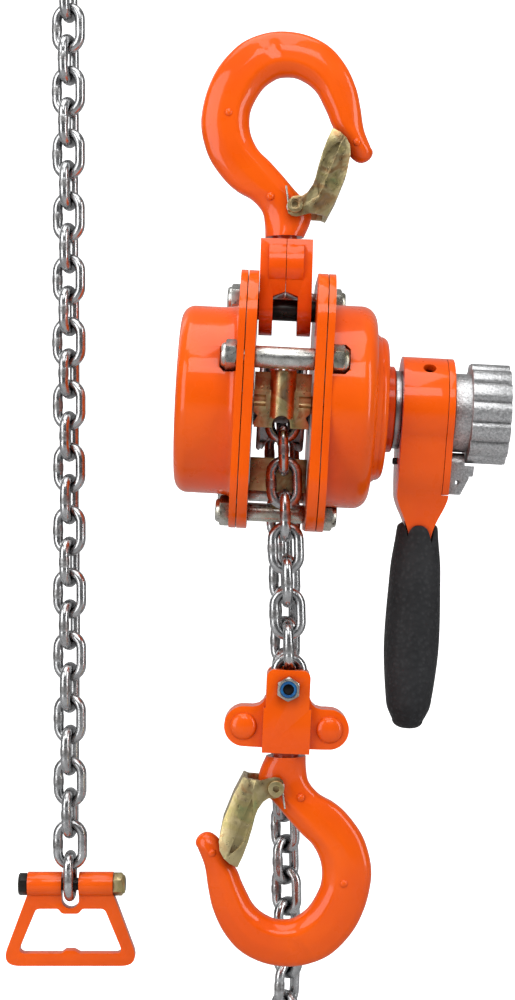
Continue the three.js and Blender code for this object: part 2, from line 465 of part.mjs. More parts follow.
// sheave pockets hold the links whose wide side lies along the axle
const flat = seat.find((l) => l.i % 2 === 0 && midZ(l) > 5);
const flatMid = flat.p.clone().add(flat.q).multiplyScalar(0.5).applyMatrix4(T_BODY.clone().invert());
const SHEAVE_PHASE = (Math.atan2(flatMid.z, flatMid.y) * 180) / Math.PI - 90;
function fuse(list, sides, steps) {
  const last = list.length - 1;             // joined links, with any pocket closed inside a contact filled
  const shells = add(...list.map((l, k) => link(l.p, l.q, l.w, sides, steps, k === 0 ? 1 : 0, k === last ? 1 : 0))).decompose().filter((s) => s.volume() > 0);
  if (shells.length > 1) throw new Error(`chain from link ${list[0].i} falls into ${shells.length} bodies`);
  return shells[0].simplify(sides === 4 ? 0.3 : 0.06);
}
const group = (a, b) => links.slice(a, b);
const bright = ZINC;
put('load_chain', fuse(group(0, wrapFirst), 6, 3), bright);
put('sheave_chain', fuse(seat, 4, 3), bright);
// the slack chain is three lengths, parted where it hangs straight
const SLACK_SEGMENTS = 3, cuts = [wrapLast + 1, 48, N - 37, N];
for (let k = 0; k < SLACK_SEGMENTS; k++) {
  const a = cuts[k], b = cuts[k + 1];
  const list = group(a, b);
  put(`slack_chain_${k + 1}`, fuse(list, 4, 2), bright);
}

put('load_sheave', sheave(), STEEL, T_BODY);
function ringX(x0, x1, r0, r1, seg = 24) { return latheX([[x0, r0], [x0, r1], [x1, r1], [x1, r0], [x0, r0]], seg); }
put('gear_side_bearing', ringX(-14.2, -10.8, 9.0, 11.4), STEEL, T_BODY);
put('brake_side_bearing', ringX(10.8, 14.2, 9.0, 11.4), STEEL, T_BODY);
const toothedX = (teeth, x0, x1, y, z, phase, bore) => {
  let b = alongX(gearOutline(teeth, 1.2, phase), x0, x1);
  if (bore) b = cut(b, cylX(bore, x0 - 1, x1 + 1, 0, 0, 20));
  return b.translate([0, y, z]);
};
// load gear on the sheave, two compound idlers above and below, pinion in the middle
put('load_gear', cut(add(toothedX(WHEEL_T, -21.4, -16.0, 0, 0, 0, 0), cylX(8.0, -16.2, -10.5, 0, 0, 24)), cylX(5.8, -30, -5, 0, 0, 20)), STEEL, T_BODY);
for (const [n, s] of [['upper', 1], ['lower', -1]]) {
  let g = add(toothedX(PINION_T, -21.4, -15.6, 0, 0, 0, 0), toothedX(WHEEL_T, -28.4, -22.2, 0, 0, 0, 0), cylX(3.6, -22.4, -21.2, 0, 0, 16));
  g = add(g, cylX(2.4, -36.9, -28.2, 0, 0, 14));
  put(`${n}_idler_gear`, g.translate([0, 0, s * GEAR_A]), STEEL, T_BODY);
}
put('pinion_shaft', add(toothedX(PINION_T, -28.4, -22.1, 0, 0, 90 - 18, 0), cylX(3.4, -38.0, 84.8, 0, 0, 18), cylX(5.2, -21.9, -14.5, 0, 0, 18)), STEEL, T_BODY);

// ---- chain guide and stripper ------------------------------------------
function chainGuide() {
  // a half round column under the front stay, with recessed flanks, two lugs and a skirt with an arched mouth
  const skirt = [[-6.2, 3.3], [-10.2, 3.3], [-10.2, -4.6], [-8.6, -6.2], [-9.9, -8.6], [-9.9, -10.2], [9.9, -10.2], [9.9, -8.6], [8.6, -6.2], [10.2, -4.6], [10.2, 3.3], [6.2, 3.3]];
  const rim = arc(0, -9.2, 4.7, 0, 180, 10).concat([[-4.7, -10.2], [4.7, -10.2]]);
  const mouth = [[-3.3, -12], [3.3, -12], ...arc(0, -9.2, 3.3, 0, 180, 8)];
  let b = add(alongY(skirt, -27.2, -24.2), box(-10.3, 10.3, -25.2, -24.0, 2.8, 9.8), cylZ(4.7, -7.0, 10.4, 0, -25.2, 24));
  b = add(b, box(-10.4, -7.6, -26.4, -19, -2, 3.3), box(7.6, 10.4, -26.4, -19, -2, 3.3), alongY(rim, -28.3, -24.4));
  return cut(b, alongY(mouth, -32, -20), cylX(20.4, -7.3, 7.3, 0, 0, 36), cylX(24.3, -2.9, 2.9, 0, 0, 40));
}
put('chain_guide', chainGuide(), GOLD, T_BODY);
put('chain_stripper', cut(add(box(-10.5, 10.5, -8.6, -6.4, -33.0, -20.6), box(-2.2, 2.2, -8.6, 6.0, -27, -20.6)), cylX(18.9, -2.3, 2.3, 0, 0, 32)), GOLD, T_BODY);

// ---- brake -------------------------------------------------------------
put('friction_hub', cut(add(cylX(20.0, 14.6, 17.4, 0, 0, 32), cylX(8.2, 17.2, 26.0, 0, 0, 24)), cylX(3.7, 10, 30, 0, 0, 18)), STEEL, T_BODY);
put('friction_disc_inner', ringX(17.6, 19.8, 8.6, 20, 32), FRICTION, T_BODY);
function ratchet() {
  const o = [];
  for (let i = 0; i < 16; i++) { const a = 22.5 * i; o.push([26 * Math.cos(rad(a)), 26 * Math.sin(rad(a))], [22.6 * Math.cos(rad(a + 3)), 22.6 * Math.sin(rad(a + 3))], [23.4 * Math.cos(rad(a + 12)), 23.4 * Math.sin(rad(a + 12))]); }
  return cut(alongX(o, 20.0, 23.6), cylX(8.6, 10, 30, 0, 0, 24));
}
put('ratchet_disc', ratchet(), STEEL, T_BODY);
put('friction_disc_outer', ringX(23.8, 26.0, 8.6, 20, 32), FRICTION, T_BODY);
const pawl = (s) => {
  let b = alongX([[0, 3], [-3, 1.5], [-3, -2], [4, -4.0], [9.5, -4.1], [10, -2.2], [5, -0.6], [3, 1.8]], 20.0, 23.6);
  b = cut(b, cylX(1.7, 10, 30, 0, 0, 12));
  b = b.translate([0, -9, 30.6]);
  return s > 0 ? b : b.rotate([135, 0, 0]);
};
put('brake_pawl_upper', pawl(1), STEEL, T_BODY);
put('brake_pawl_lower', pawl(-1), STEEL, T_BODY);
// drive hub runs in the cover bore and carries the change gear inside the lever
function driveHub() {
  let b = add(cylX(18.0, 26.2, 29.6, 0, 0, 28), cylX(12.6, 29.4, 45.2, 0, 0, 28), cylX(14.6, 43.0, 45.1, 0, 0, 28));
  b = add(b, cylX(9.0, 45, 62.4, 0, 0, 24));
  b = add(b, alongX(gearOutlineCoarse(), 51.5, 58.5));
  return cut(b, cylX(3.7, 20, 70, 0, 0, 18));
}
function gearOutlineCoarse() {
  const o = [];
  for (let i = 0; i < 12; i++) { const a = 30 * i; for (const [r, d] of [[11.2, -11], [13.6, -5], [13.6, 5], [11.2, 11]]) o.push([r * Math.cos(rad(a + d)), r * Math.sin(rad(a + d))]); }
  return o;
}
put('drive_hub', driveHub(), STEEL, T_BODY);

// ---- lever -------------------------------------------------------------
const leverSide = [...arc(0, 0, LEVER_R, -32, 212, 18), [-9.4, -33], [-7.2, -45], [-6.6, -57.5], [6.6, -57.5], [7.2, -45], [9.4, -33]];
const leverFront = [[LEVER_X0, 21], [LEVER_X1, 21], [LEVER_X1, -33], [60.3, -44], [59.2, -51], [59.2, -57.5], [51.4, -57.5], [51.4, -51], [50.3, -44], [LEVER_X0, -33]];
const leverBody = alongX(leverSide, LEVER_X0, LEVER_X1).intersect(alongY(leverFront, -22, 22));
const inside = add(cylX(17.4, 48.2, 62.4, 0, 0, 32), box(48.2, 62.4, -8.6, 8.6, -30.2, -8));
const COVER_X = 62.6;
let shell = cut(leverBody, inside, cylX(12.9, 40, 50, 0, 0, 28), box(COVER_X - 0.2, 70, -30, 30, -31.2, 30));
shell = cut(shell, cylX(2.2, 56, 70, 0, -19.0, 14));
shell = cut(shell, cylZ(2.0, 14, 25, 55.2, 0, 14, 3.0).rotate([40, 0, 0]));   // oil hole on the front shoulder
put('lever_shell', shell, PAINT, T_BODY);
let plate = cut(leverBody.intersect(box(COVER_X, 70, -30, 30, -31.0, 30)), cylX(9.3, 60, 70, 0, 0, 26), cylX(2.3, 50, 70, 0, -19, 14));
put('lever_cover', plate, PAINT, T_BODY);
function grip() {
  const rows = [[-41.6, 5.0, 5.2], [-43.2, 7.9, 8.6], [-48.2, 8.45, 9.6], [-57, 9.6, 10.8], [-66.2, 10.1, 11.4], [-78, 10.6, 11.9], [-88.7, 10.65, 12.0], [-98, 10.0, 11.6], [-106.7, 9.0, 10.8], [-111.2, 8.2, 9.8], [-115.7, 6.0, 7.2], [-118.8, 1.6, 2.0]];
  const rings = rows.map(([z, a, b]) => { const r = []; for (let i = 0; i < 12; i++) { const t = (2 * Math.PI * i) / 12; r.push(V(54.8 + a * Math.cos(t), b * Math.sin(t), z)); } return r; });
  const arm = add(box(51.1, 59.5, -7.5, 7.5, -57.8, -38), alongY([[50.9, -51], [59.7, -51], [60.8, -44], [62.6, -40], [62.6, -38], [48.0, -38], [48.0, -40], [49.8, -44]], -8.2, 8.2));
  return cut(loft(rings), arm);
}
put('lever_grip', grip(), RUBBER, T_BODY);
// selector: knob outside, shaft through the cover, two tooth change pawl inside
put('selector_knob', add(cut(add(cylX(4.3, 65.5, 75.2, 0, -19.3, 20), alongY([[65.5, -20], [73.6, -20], [73.4, -24.4], [70.4, -30.6], [65.5, -30.6]], -4.1, 4.1)), cylX(20.2, 71.5, 80, 0, 0, 40)), cylX(1.9, 59.6, 66, 0, -19, 14)), CAST, T_BODY);
put('change_pawl', add(alongX([[0, 4.4], [-6.6, 4.6], [-5.2, 1.0], [-3.4, -4.4], [0, -6.4], [3.4, -4.4], [5.2, 1.0], [6.6, 4.6]].map(([y, z]) => [y, z - 19]), 52, 58), cylX(1.9, 48.3, 59.4, 0, -19, 12)), STEEL, T_BODY);

// ---- handwheel ---------------------------------------------------------
function handwheel() {
  const o = [];
  const n = 14;
  for (let i = 0; i < n; i++) { const a = (360 / n) * i; for (const [r, d] of [[WHEEL_R - 1.9, -11.6], [WHEEL_R - 0.35, -7.4], [WHEEL_R, 0], [WHEEL_R - 0.35, 7.4], [WHEEL_R - 1.9, 11.6]]) o.push([r * Math.cos(rad(a + d)), r * Math.sin(rad(a + d))]); }
  let b = add(alongX(o, WHEEL_X0, WHEEL_X1), cylX(NECK_R, NECK_X0, WHEEL_X0 + 0.5, 0, 0, 32));
  b = cut(b, cylX(12.0, WHEEL_X1 - 5, WHEEL_X1 + 1, 0, 0, 28), cylX(3.7, 60, 90, 0, 0, 18));
  return b;
}
put('handwheel', handwheel(), CAST, T_BODY);
const nutHex = new THREE.CylinderGeometry(5.75, 5.75, 3.2, 6); nutHex.rotateZ(Math.PI / 2); nutHex.translate(83.6, 0, 0);
put('shaft_nut', cut(solid(nutHex), cylX(3.55, 80, 90, 0, 0, 18)), ZINC, T_BODY);

// ---- lower block -------------------------------------------------------
function blockHalf(s) {
  // front half has s = -1; the halves meet on the plane of the load strand
  const depth = 7.9, y0 = s < 0 ? -depth : 0.06, y1 = s < 0 ? -0.06 : depth;
  const up = [[-7.9, -7.6], [-7.9, 4.6], ...arc(-6.1, 4.8, 1.8, 180, 90, 3), ...arc(6.1, 4.8, 1.8, 90, 0, 3), [7.9, -7.6]];
  const low = [[-8.6, -7.4], [8.6, -7.4], [8.6, -23.6], [-8.6, -23.6]];
  const lobe = [...arc(-15.4, -14.6, 7.3, 90, 270, 8), ...arc(15.4, -14.6, 7.3, -90, 90, 8)];
  let b = add(alongY(up, y0, y1), alongY(low, y0, y1));
  const ly0 = s < 0 ? -5.4 : 0.06, ly1 = s < 0 ? -0.06 : 5.4;
  b = add(b, alongY(lobe, ly0, ly1));
  const d0 = s < 0 ? -7.4 : 5.3, d1 = s < 0 ? -5.3 : 7.4;
  b = add(b, cylY(4.6, d0, d1, -15.6, -14.6, 18), cylY(4.6, d0, d1, 15.6, -14.6, 18));
  b = cut(b, box(-7.3, 7.3, -2.5, 2.5, -8.4, 10), box(-2.5, 2.5, -7.0, 7.0, 3.6, 10));
  b = cut(b, cylY(2.25, -12, 12, 0, 0, 16));
  // swivel bore and head pocket follow the upright hook axis, so they are cut with room for the tilt
  b = cut(b, cylZ(5.8, -26, -13, -0.2, 0, 22), cylZ(7.3, -14.1, -10.0, -0.2, 0, 22));
  return b;
}
put('block_front_half', blockHalf(-1), PAINT, T_BLOCK);
put('block_rear_half', blockHalf(1), PAINT, T_BLOCK);
put('block_bolt', add(cylY(1.95, -10.2, 8.1, 0, 0, 14), (() => { const h = new THREE.CylinderGeometry(4.2, 4.2, 3, 6); h.translate(0, 9.5, 0); return solid(h); })()), BLACK, T_BLOCK);
const bn = new THREE.CylinderGeometry(4.5, 4.5, 3.6, 6); bn.rotateY(rad(0)); bn.translate(0, -9.8, 0);
put('block_nut', cut(add(solid(bn), cylY(3.6, -12.4, -11.5, 0, 0, 16)), cylY(2.0, -20, 0, 0, 0, 14)), ZINC, T_BLOCK);

// ---- stop handle -------------------------------------------------------
const T_HANDLE = new THREE.Matrix4().makeTranslation(-81.6, STRAND_Y, HANDLE_Z);
function stopHandle() {
  const outer = [[-16.2, -4.6], [-25.0, -25.2], [-25.0, -28.2], [-22.4, -30.7], [22.4, -30.7], [25.0, -28.2], [25.0, -25.2], [16.2, -4.6]];
  // the bulge round the slot and the window below it
  const hole = [[-12.6, -9.0], [-18.4, -24.4], [-17.2, -25.6], [17.2, -25.6], [18.4, -24.4], [12.6, -9.0], [5.4, -9.0], [4.4, -11.4], [-4.4, -11.4], [-5.4, -9.0]];
  let b = alongY(outer, -2.35, 2.35);
  b = cut(b, alongY(hole, -5, 5));
  b = add(b, cylX(4.7, -16.3, -3.2, 0, 0, 18), cylX(4.7, 3.2, 16.3, 0, 0, 18));
  b = cut(b, alongY([[-3.3, 3], [3.3, 3], [3.3, -7.4], ...arc(0, -7.4, 3.3, 0, -180, 6).slice(1, -1), [-3.3, -7.4]], -6, 6));
  b = cut(b, cylX(2.7, -30, 30, 0, 0, 16));
  return b;
}
put('stop_handle', stopHandle(), PAINT, T_HANDLE);
const sbh = new THREE.CylinderGeometry(4.3, 4.3, 3.2, 6); sbh.rotateZ(Math.PI / 2); sbh.translate(-18.2, 0, 0);
put('stop_bolt', add(solid(sbh), cylX(2.35, -17, 21.0, 0, 0, 14)), BLACK, T_HANDLE);
const snh = new THREE.CylinderGeometry(4.5, 4.5, 3.4, 6); snh.rotateZ(Math.PI / 2); snh.translate(18.2, 0, 0);
put('stop_nut', cut(add(solid(snh), cylX(3.7, 19.8, 20.8, 0, 0, 14)), cylX(2.4, 10, 30, 0, 0, 14)), GOLD, T_HANDLE);

export default root;
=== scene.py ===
"""Looks of the lever chain hoist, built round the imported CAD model. Lengths in the code are millimetres until place()."""
import math
import bpy
import bmesh
import numpy as np
from mathutils import Matrix, Vector, noise


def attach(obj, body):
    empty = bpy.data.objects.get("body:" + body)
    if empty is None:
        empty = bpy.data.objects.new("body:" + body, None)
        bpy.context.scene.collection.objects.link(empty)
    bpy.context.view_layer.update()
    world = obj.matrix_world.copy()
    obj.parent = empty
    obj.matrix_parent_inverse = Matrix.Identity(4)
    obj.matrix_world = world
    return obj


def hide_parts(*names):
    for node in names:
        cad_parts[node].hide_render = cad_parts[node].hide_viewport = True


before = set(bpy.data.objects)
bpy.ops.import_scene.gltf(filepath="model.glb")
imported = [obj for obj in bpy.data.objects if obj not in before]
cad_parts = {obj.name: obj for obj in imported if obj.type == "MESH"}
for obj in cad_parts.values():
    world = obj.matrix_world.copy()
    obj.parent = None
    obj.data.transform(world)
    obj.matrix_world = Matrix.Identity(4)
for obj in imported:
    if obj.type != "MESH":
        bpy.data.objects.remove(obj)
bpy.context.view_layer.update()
scene = bpy.context.scene
rad = math.radians

# ---------------------------------------------------------------- placing
def tilt(deg, src, dst):
    return Matrix.Translation(Vector(dst)) @ Matrix.Rotation(rad(deg), 4, "Y") @ Matrix.Translation(-Vector(src))

T_BODY = tilt(3.0, (0, 0, 35), (0.6, 0, 35))
T_YOKE = tilt(1.7, (0, 0, 35), (0, 0, 35))
T_BLOCK = tilt(2.5, (0, 0, 0), (0.95, -15.68, -104.1))
T_LOWER = Matrix.Translation((0.13, -15.68, -67.1)) @ Matrix.Rotation(math.pi, 4, "Y")
T_HANDLE = Matrix.Translation((-81.6, 14, -182.9))
ONE = Matrix.Identity(4)

# ---------------------------------------------------------------- mesh helpers
def prim(verts, faces):
    me = bpy.data.meshes.new("m")
    me.from_pydata([tuple(v) for v in verts], [], [tuple(f) for f in faces])
    bm = bmesh.new()
    bm.from_mesh(me)
    bmesh.ops.remove_doubles(bm, verts=bm.verts, dist=1e-5)
    bmesh.ops.recalc_face_normals(bm, faces=bm.faces)
    bm.to_mesh(me)
    bm.free()
    return me

def prism(pts, to, d0, d1):
    n = len(pts)
    vs = [to(u, v, d0) for u, v in pts] + [to(u, v, d1) for u, v in pts]
    fs = [list(range(n)), list(range(2 * n - 1, n - 1, -1))]
    fs += [(i, (i + 1) % n, n + (i + 1) % n, n + i) for i in range(n)]
    return prim(vs, fs)

def along_x(pts, x0, x1):      # pts are (y, z)
    return prism(pts, lambda u, v, d: (d, u, v), x0, x1)

def along_y(pts, y0, y1):      # pts are (x, z)
    return prism(pts, lambda u, v, d: (u, d, v), y0, y1)

def along_z(pts, z0, z1):      # pts are (x, y)
    return prism(pts, lambda u, v, d: (u, v, d), z0, z1)

def box(x0, x1, y0, y1, z0, z1):
    return along_z([(x0, y0), (x1, y0), (x1, y1), (x0, y1)], z0, z1)

def frustum(axis, r0, r1, d0, d1, a, b, seg):
    vs = []
    for r, d in ((r0, d0), (r1, d1)):
        for i in range(seg):
            t = 2 * math.pi * (i + 0.5) / seg
            u, v = a + r * math.cos(t), b + r * math.sin(t)
            vs.append({"x": (d, u, v), "y": (u, d, v), "z": (u, v, d)}[axis])
    fs = [list(range(seg)), list(range(2 * seg - 1, seg - 1, -1))]
    fs += [(i, (i + 1) % seg, seg + (i + 1) % seg, seg + i) for i in range(seg)]
    return prim(vs, fs)

def cyl_x(r, x0, x1, y=0, z=0, seg=72, r2=None):
    return frustum("x", r, r if r2 is None else r2, x0, x1, y, z, seg)

def cyl_y(r, y0, y1, x=0, z=0, seg=56, r2=None):
    return frustum("y", r, r if r2 is None else r2, y0, y1, x, z, seg)

def cyl_z(r, z0, z1, x=0, y=0, seg=56, r2=None):
    return frustum("z", r, r if r2 is None else r2, z0, z1, x, y, seg)

def lathe(profile, seg=128, to=lambda d, a, b: (d, a, b)):
    """Revolves (along, radius) points round an axis. The profile runs axis to axis, or is a closed loop."""
    p = list(profile)
    closed = p[0] == p[-1]
    if closed:
        p = p[:-1]
    vs, rings = [], []
    for d, r in p:
        if r < 1e-6:
            rings.append([len(vs)])
            vs.append(to(d, 0, 0))
        else:
            k = len(vs)
            rings.append(list(range(k, k + seg)))
            for i in range(seg):
                t = 2 * math.pi * i / seg
                vs.append(to(d, r * math.cos(t), r * math.sin(t)))
    fs = []
    m = len(p)
    for i in range(m if closed else m - 1):
        a, b = rings[i], rings[(i + 1) % m]
        for j in range(seg):
            k = (j + 1) % seg
            if len(a) == 1 and len(b) == 1:
                continue
            if len(a) == 1:
                fs.append((a[0], b[j], b[k]))
            elif len(b) == 1:
                fs.append((a[j], b[0], a[k]))
            else:
                fs.append((a[j], b[j], b[k], a[k]))
    return prim(vs, fs)

def arc(cx, cy, r, a0, a1, n):
    return [(cx + r * math.cos(rad(a0 + (a1 - a0) * i / n)), cy + r * math.sin(rad(a0 + (a1 - a0) * i / n))) for i in range(n + 1)]

def round_rect(hy, hz, r, n=14):
    return arc(hy - r, hz - r, r, 0, 90, n) + arc(-hy + r, hz - r, r, 90, 180, n) + arc(-hy + r, -hz + r, r, 180, 270, n) + arc(hy - r, -hz + r, r, 270, 360, n)

def loft(rings):
    n = len(rings[0])
    vs = [p for r in rings for p in r]
    fs = []
    for i in range(len(rings) - 1):
        for j in range(n):
            k = (j + 1) % n
            fs.append((i * n + j, i * n + k, (i + 1) * n + k, (i + 1) * n + j))
    fs.append(list(range(n - 1, -1, -1)))
    fs.append(list(range((len(rings) - 1) * n, len(rings) * n)))
    return prim(vs, fs)

def sweep(points, r, sides=10, closed=False):
    P = [Vector(p) for p in points]
    n = len(P)
    rings, up = [], None
    for i in range(n):
        a = P[(i - 1) % n] if (closed or i > 0) else P[i]
        b = P[(i + 1) % n] if (closed or i < n - 1) else P[i]
        t = (b - a).normalized()
        if up is None:
            up = t.orthogonal().normalized()
        up = (up - t * up.dot(t)).normalized()
        v = t.cross(up)
        rings.append([P[i] + (up * math.cos(2 * math.pi * k / sides) + v * math.sin(2 * math.pi * k / sides)) * r for k in range(sides)])
    vs = [p for q in rings for p in q]
    fs = []
    for i in range(n if closed else n - 1):
        for k in range(sides):
            l, i2 = (k + 1) % sides, (i + 1) % n
            fs.append((i * sides + k, i * sides + l, i2 * sides + l, i2 * sides + k))
    if not closed:
        fs.append(list(range(sides - 1, -1, -1)))
        fs.append(list(range((n - 1) * sides, n * sides)))
    return prim(vs, fs)

def smooth_line(points, n=8):
    """Catmull-Rom through a list of equal-length tuples."""
    P = [np.array(p, float) for p in points]
    out = []
    for i in range(len(P) - 1):
        a = P[i - 1] if i > 0 else 2 * P[0] - P[1]
        b, c = P[i], P[i + 1]
        d = P[i + 2] if i + 2 < len(P) else 2 * P[-1] - P[-2]
        for k in range(n):
            t = k / n
            out.append(0.5 * ((2 * b) + (c - a) * t + (2 * a - 5 * b + 4 * c - d) * t * t + (3 * b - a - 3 * c + d) * t ** 3))
    out.append(P[-1])
    return out

def _object(me):
    o = bpy.data.objects.new("tmp", me)
    scene.collection.objects.link(o)
    return o

def _bake(o):
    dg = bpy.context.evaluated_depsgraph_get()
    dg.update()
    return bpy.data.meshes.new_from_object(o.evaluated_get(dg))

def csg(base, *ops):
    """ops are ("+" or "-" or "&", mesh)."""
    o = _object(base)
    held = []
    for op, m in ops:
        k = _object(m)
        held.append(k)
        md = o.modifiers.new("b", "BOOLEAN")
        md.operation = {"+": "UNION", "-": "DIFFERENCE", "&": "INTERSECT"}[op]
        md.object = k
        try:
            md.solver = "MANIFOLD"
        except TypeError:
            md.solver = "EXACT"
    out = _bake(o)
    for k in held + [o]:
        bpy.data.objects.remove(k)
    return out

def moved(me, matrix):
    me = me.copy()
    me.transform(matrix)
    if matrix.determinant() < 0:
        me.flip_normals()
    return me

def bevelled(me, width, segments=2, angle=28):
    bm = bmesh.new()
    bm.from_mesh(me)
    bmesh.ops.remove_doubles(bm, verts=bm.verts, dist=0.004)
    bmesh.ops.dissolve_degenerate(bm, edges=bm.edges, dist=0.002)
    bmesh.ops.dissolve_limit(bm, angle_limit=rad(0.6), verts=bm.verts, edges=bm.edges)
    bm.to_mesh(me)
    bm.free()
    o = _object(me)
    md = o.modifiers.new("v", "BEVEL")
    md.width = width
    md.segments = segments
    md.limit_method = "ANGLE"
    md.angle_limit = rad(angle)
    md.use_clamp_overlap = True
    md.miter_outer = "MITER_ARC"
    out = _bake(o)
    bpy.data.objects.remove(o)
    return out

PIECES = {}
SEAT = 122.2
def stack(x):
    return 18 + (x - 18) * 0.958 if x > 18 else -18 + (x + 18) * 0.932 if x < -18 else x
def place(name, me, matrix, material, body, stands_for=(), sharp=32):
    if matrix is T_BODY:
        for v in me.vertices:
            v.co.x = stack(v.co.x)
    me.transform(Matrix.Scale(0.001, 4) @ Matrix.Translation((0, 0, -SEAT)) @ matrix)
    me.name = name
    me.materials.clear()
    me.materials.append(material)
    for p in me.polygons:
        p.material_index = 0
    me.shade_smooth()
    me.set_sharp_from_angle(angle=rad(sharp))
    o = bpy.data.objects.new(name, me)
    scene.collection.objects.link(o)
    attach(o, body)
    if stands_for:
        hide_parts(*stands_for)
    PIECES[name] = o
    return o

# ---------------------------------------------------------------- materials
class Mat:
    def __init__(self, name):
        self.m = bpy.data.materials.new(name)
        self.m.use_nodes = True
        self.t = self.m.node_tree
        self.b = self.t.nodes["Principled BSDF"]
        self.co = self.add("ShaderNodeTexCoord").outputs["Object"]

    def add(self, kind, **kw):
        n = self.t.nodes.new(kind)
        for k, v in kw.items():
            if k in n.inputs:
                n.inputs[k].default_value = v
            else:
                setattr(n, k, v)
        return n

    def link(self, a, b):
        self.t.links.new(a, b)

    def noise(self, scale, detail=3.0, rough=0.5, distortion=0.0):
        n = self.add("ShaderNodeTexNoise")
        n.inputs["Scale"].default_value = scale
        n.inputs["Detail"].default_value = detail
        n.inputs["Roughness"].default_value = rough
        n.inputs["Distortion"].default_value = distortion
        self.link(self.co, n.inputs["Vector"])
        return n.outputs["Fac"]

    def cells(self, scale, feature="F1"):
        n = self.add("ShaderNodeTexVoronoi")
        n.feature = feature
        n.inputs["Scale"].default_value = scale
        self.link(self.co, n.inputs["Vector"])
        return n.outputs["Distance"]

    def ramp(self, fac, *stops):
        n = self.add("ShaderNodeValToRGB")
        e = n.color_ramp.elements
        while len(e) > 1:
            e.remove(e[-1])
        e[0].position, e[0].color = stops[0][0], (*stops[0][1], 1)
        for p, c in stops[1:]:
            q = e.new(p)
            q.color = (*c, 1)
        self.link(fac, n.inputs["Fac"])
        return n.outputs["Color"]

    def remap(self, fac, a, b, lo, hi):
        n = self.add("ShaderNodeMapRange")
        for k, v in zip(("From Min", "From Max", "To Min", "To Max"), (a, b, lo, hi)):
            n.inputs[k].default_value = v
        self.link(fac, n.inputs["Value"])
        return n.outputs["Result"]

    def math(self, op, a, b):
        n = self.add("ShaderNodeMath", operation=op)
        for i, v in enumerate((a, b)):
            if isinstance(v, (int, float)):
                n.inputs[i].default_value = v
            else:
                self.link(v, n.inputs[i])
        return n.outputs[0]

    def mix(self, fac, a, b, mode="MIX"):
        n = self.add("ShaderNodeMix", data_type="RGBA", blend_type=mode)
        n.clamp_factor = True
        for sock, v in ((n.inputs[0], fac), (n.inputs[6], a), (n.inputs[7], b)):
            if isinstance(v, (int, float)):
                sock.default_value = v
            elif isinstance(v, tuple):
                sock.default_value = (*v, 1)
            else:
                self.link(v, sock)
        return n.outputs[2]

    def occlusion(self, distance=0.004):
        n = self.add("ShaderNodeAmbientOcclusion")
        n.samples = 6
        n.inputs["Distance"].default_value = distance
        return n.outputs["AO"]

    def edge(self, radius=0.0006):
        """1 on convex and concave edges, 0 on flats."""
        bv = self.add("ShaderNodeBevel")
        bv.samples = 4
        bv.inputs["Radius"].default_value = radius
        g = self.add("ShaderNodeNewGeometry")
        d = self.add("ShaderNodeVectorMath", operation="DOT_PRODUCT")
        self.link(bv.outputs["Normal"], d.inputs[0])
        self.link(g.outputs["Normal"], d.inputs[1])
        return self.remap(d.outputs["Value"], 1.0, 0.9, 0.0, 1.0)

    def bump(self, height, strength, distance, normal=None):
        n = self.add("ShaderNodeBump")
        n.inputs["Strength"].default_value = strength
        n.inputs["Distance"].default_value = distance
        self.link(height, n.inputs["Height"])
        if normal is not None:
            self.link(normal, n.inputs["Normal"])
        self.link(n.outputs["Normal"], self.b.inputs["Normal"])
        return n.outputs["Normal"]

    def set(self, **kw):
        names = {"base": "Base Color", "rough": "Roughness", "metal": "Metallic", "coat": "Coat Weight", "coat_rough": "Coat Roughness", "ior": "IOR", "spec": "Specular IOR Level", "aniso": "Anisotropic"}
        for k, v in kw.items():
            s = self.b.inputs[names[k]]
            if isinstance(v, tuple):
                s.default_value = (*v, 1)
            elif isinstance(v, (int, float)):
                s.default_value = v
            else:
                self.link(v, s)
        return self

def paint():
    m = Mat("orange_enamel")
    tone = m.ramp(m.noise(38, 2), (0.35, (0.90, 0.098, 0.0010)), (0.65, (0.98, 0.122, 0.0015)))
    # painted shade: the enamel is mixed towards a dark red in creases and recesses, masked by ambient occlusion
    painted_shade_mask = m.remap(m.occlusion(0.005), 0.25, 0.95, 0.0, 1.0)
    tone = m.mix(painted_shade_mask, m.mix(0.75, tone, (0.36, 0.012, 0.0005)), tone)
    # painted highlight: a lighter, pinkish orange on patches of the edges, masked by the edge mask and noise
    painted_highlight_mask = m.math("MULTIPLY", m.edge(0.0005), m.remap(m.noise(520, 4, 0.6), 0.50, 0.66, 0.0, 1.0))
    tone = m.mix(m.math("MULTIPLY", painted_highlight_mask, 0.30), tone, (1.0, 0.30, 0.10))
    speck = m.remap(m.cells(900), 0.05, 0.10, 0.5, 0.0)
    m.set(base=m.mix(m.math("MULTIPLY", speck, 0.12), tone, (0.55, 0.04, 0.0)))
    m.set(rough=m.remap(m.noise(140, 3), 0.3, 0.7, 0.24, 0.36), coat=0.55, coat_rough=m.remap(m.noise(90, 2), 0.3, 0.7, 0.03, 0.08), spec=0.12)
    m.b.inputs["Coat IOR"].default_value = 1.5
    m.bump(m.math("ADD", m.noise(260, 2, 0.4), m.math("MULTIPLY", m.noise(1500, 2), 0.12)), 0.10, 0.00035)
    return m.m

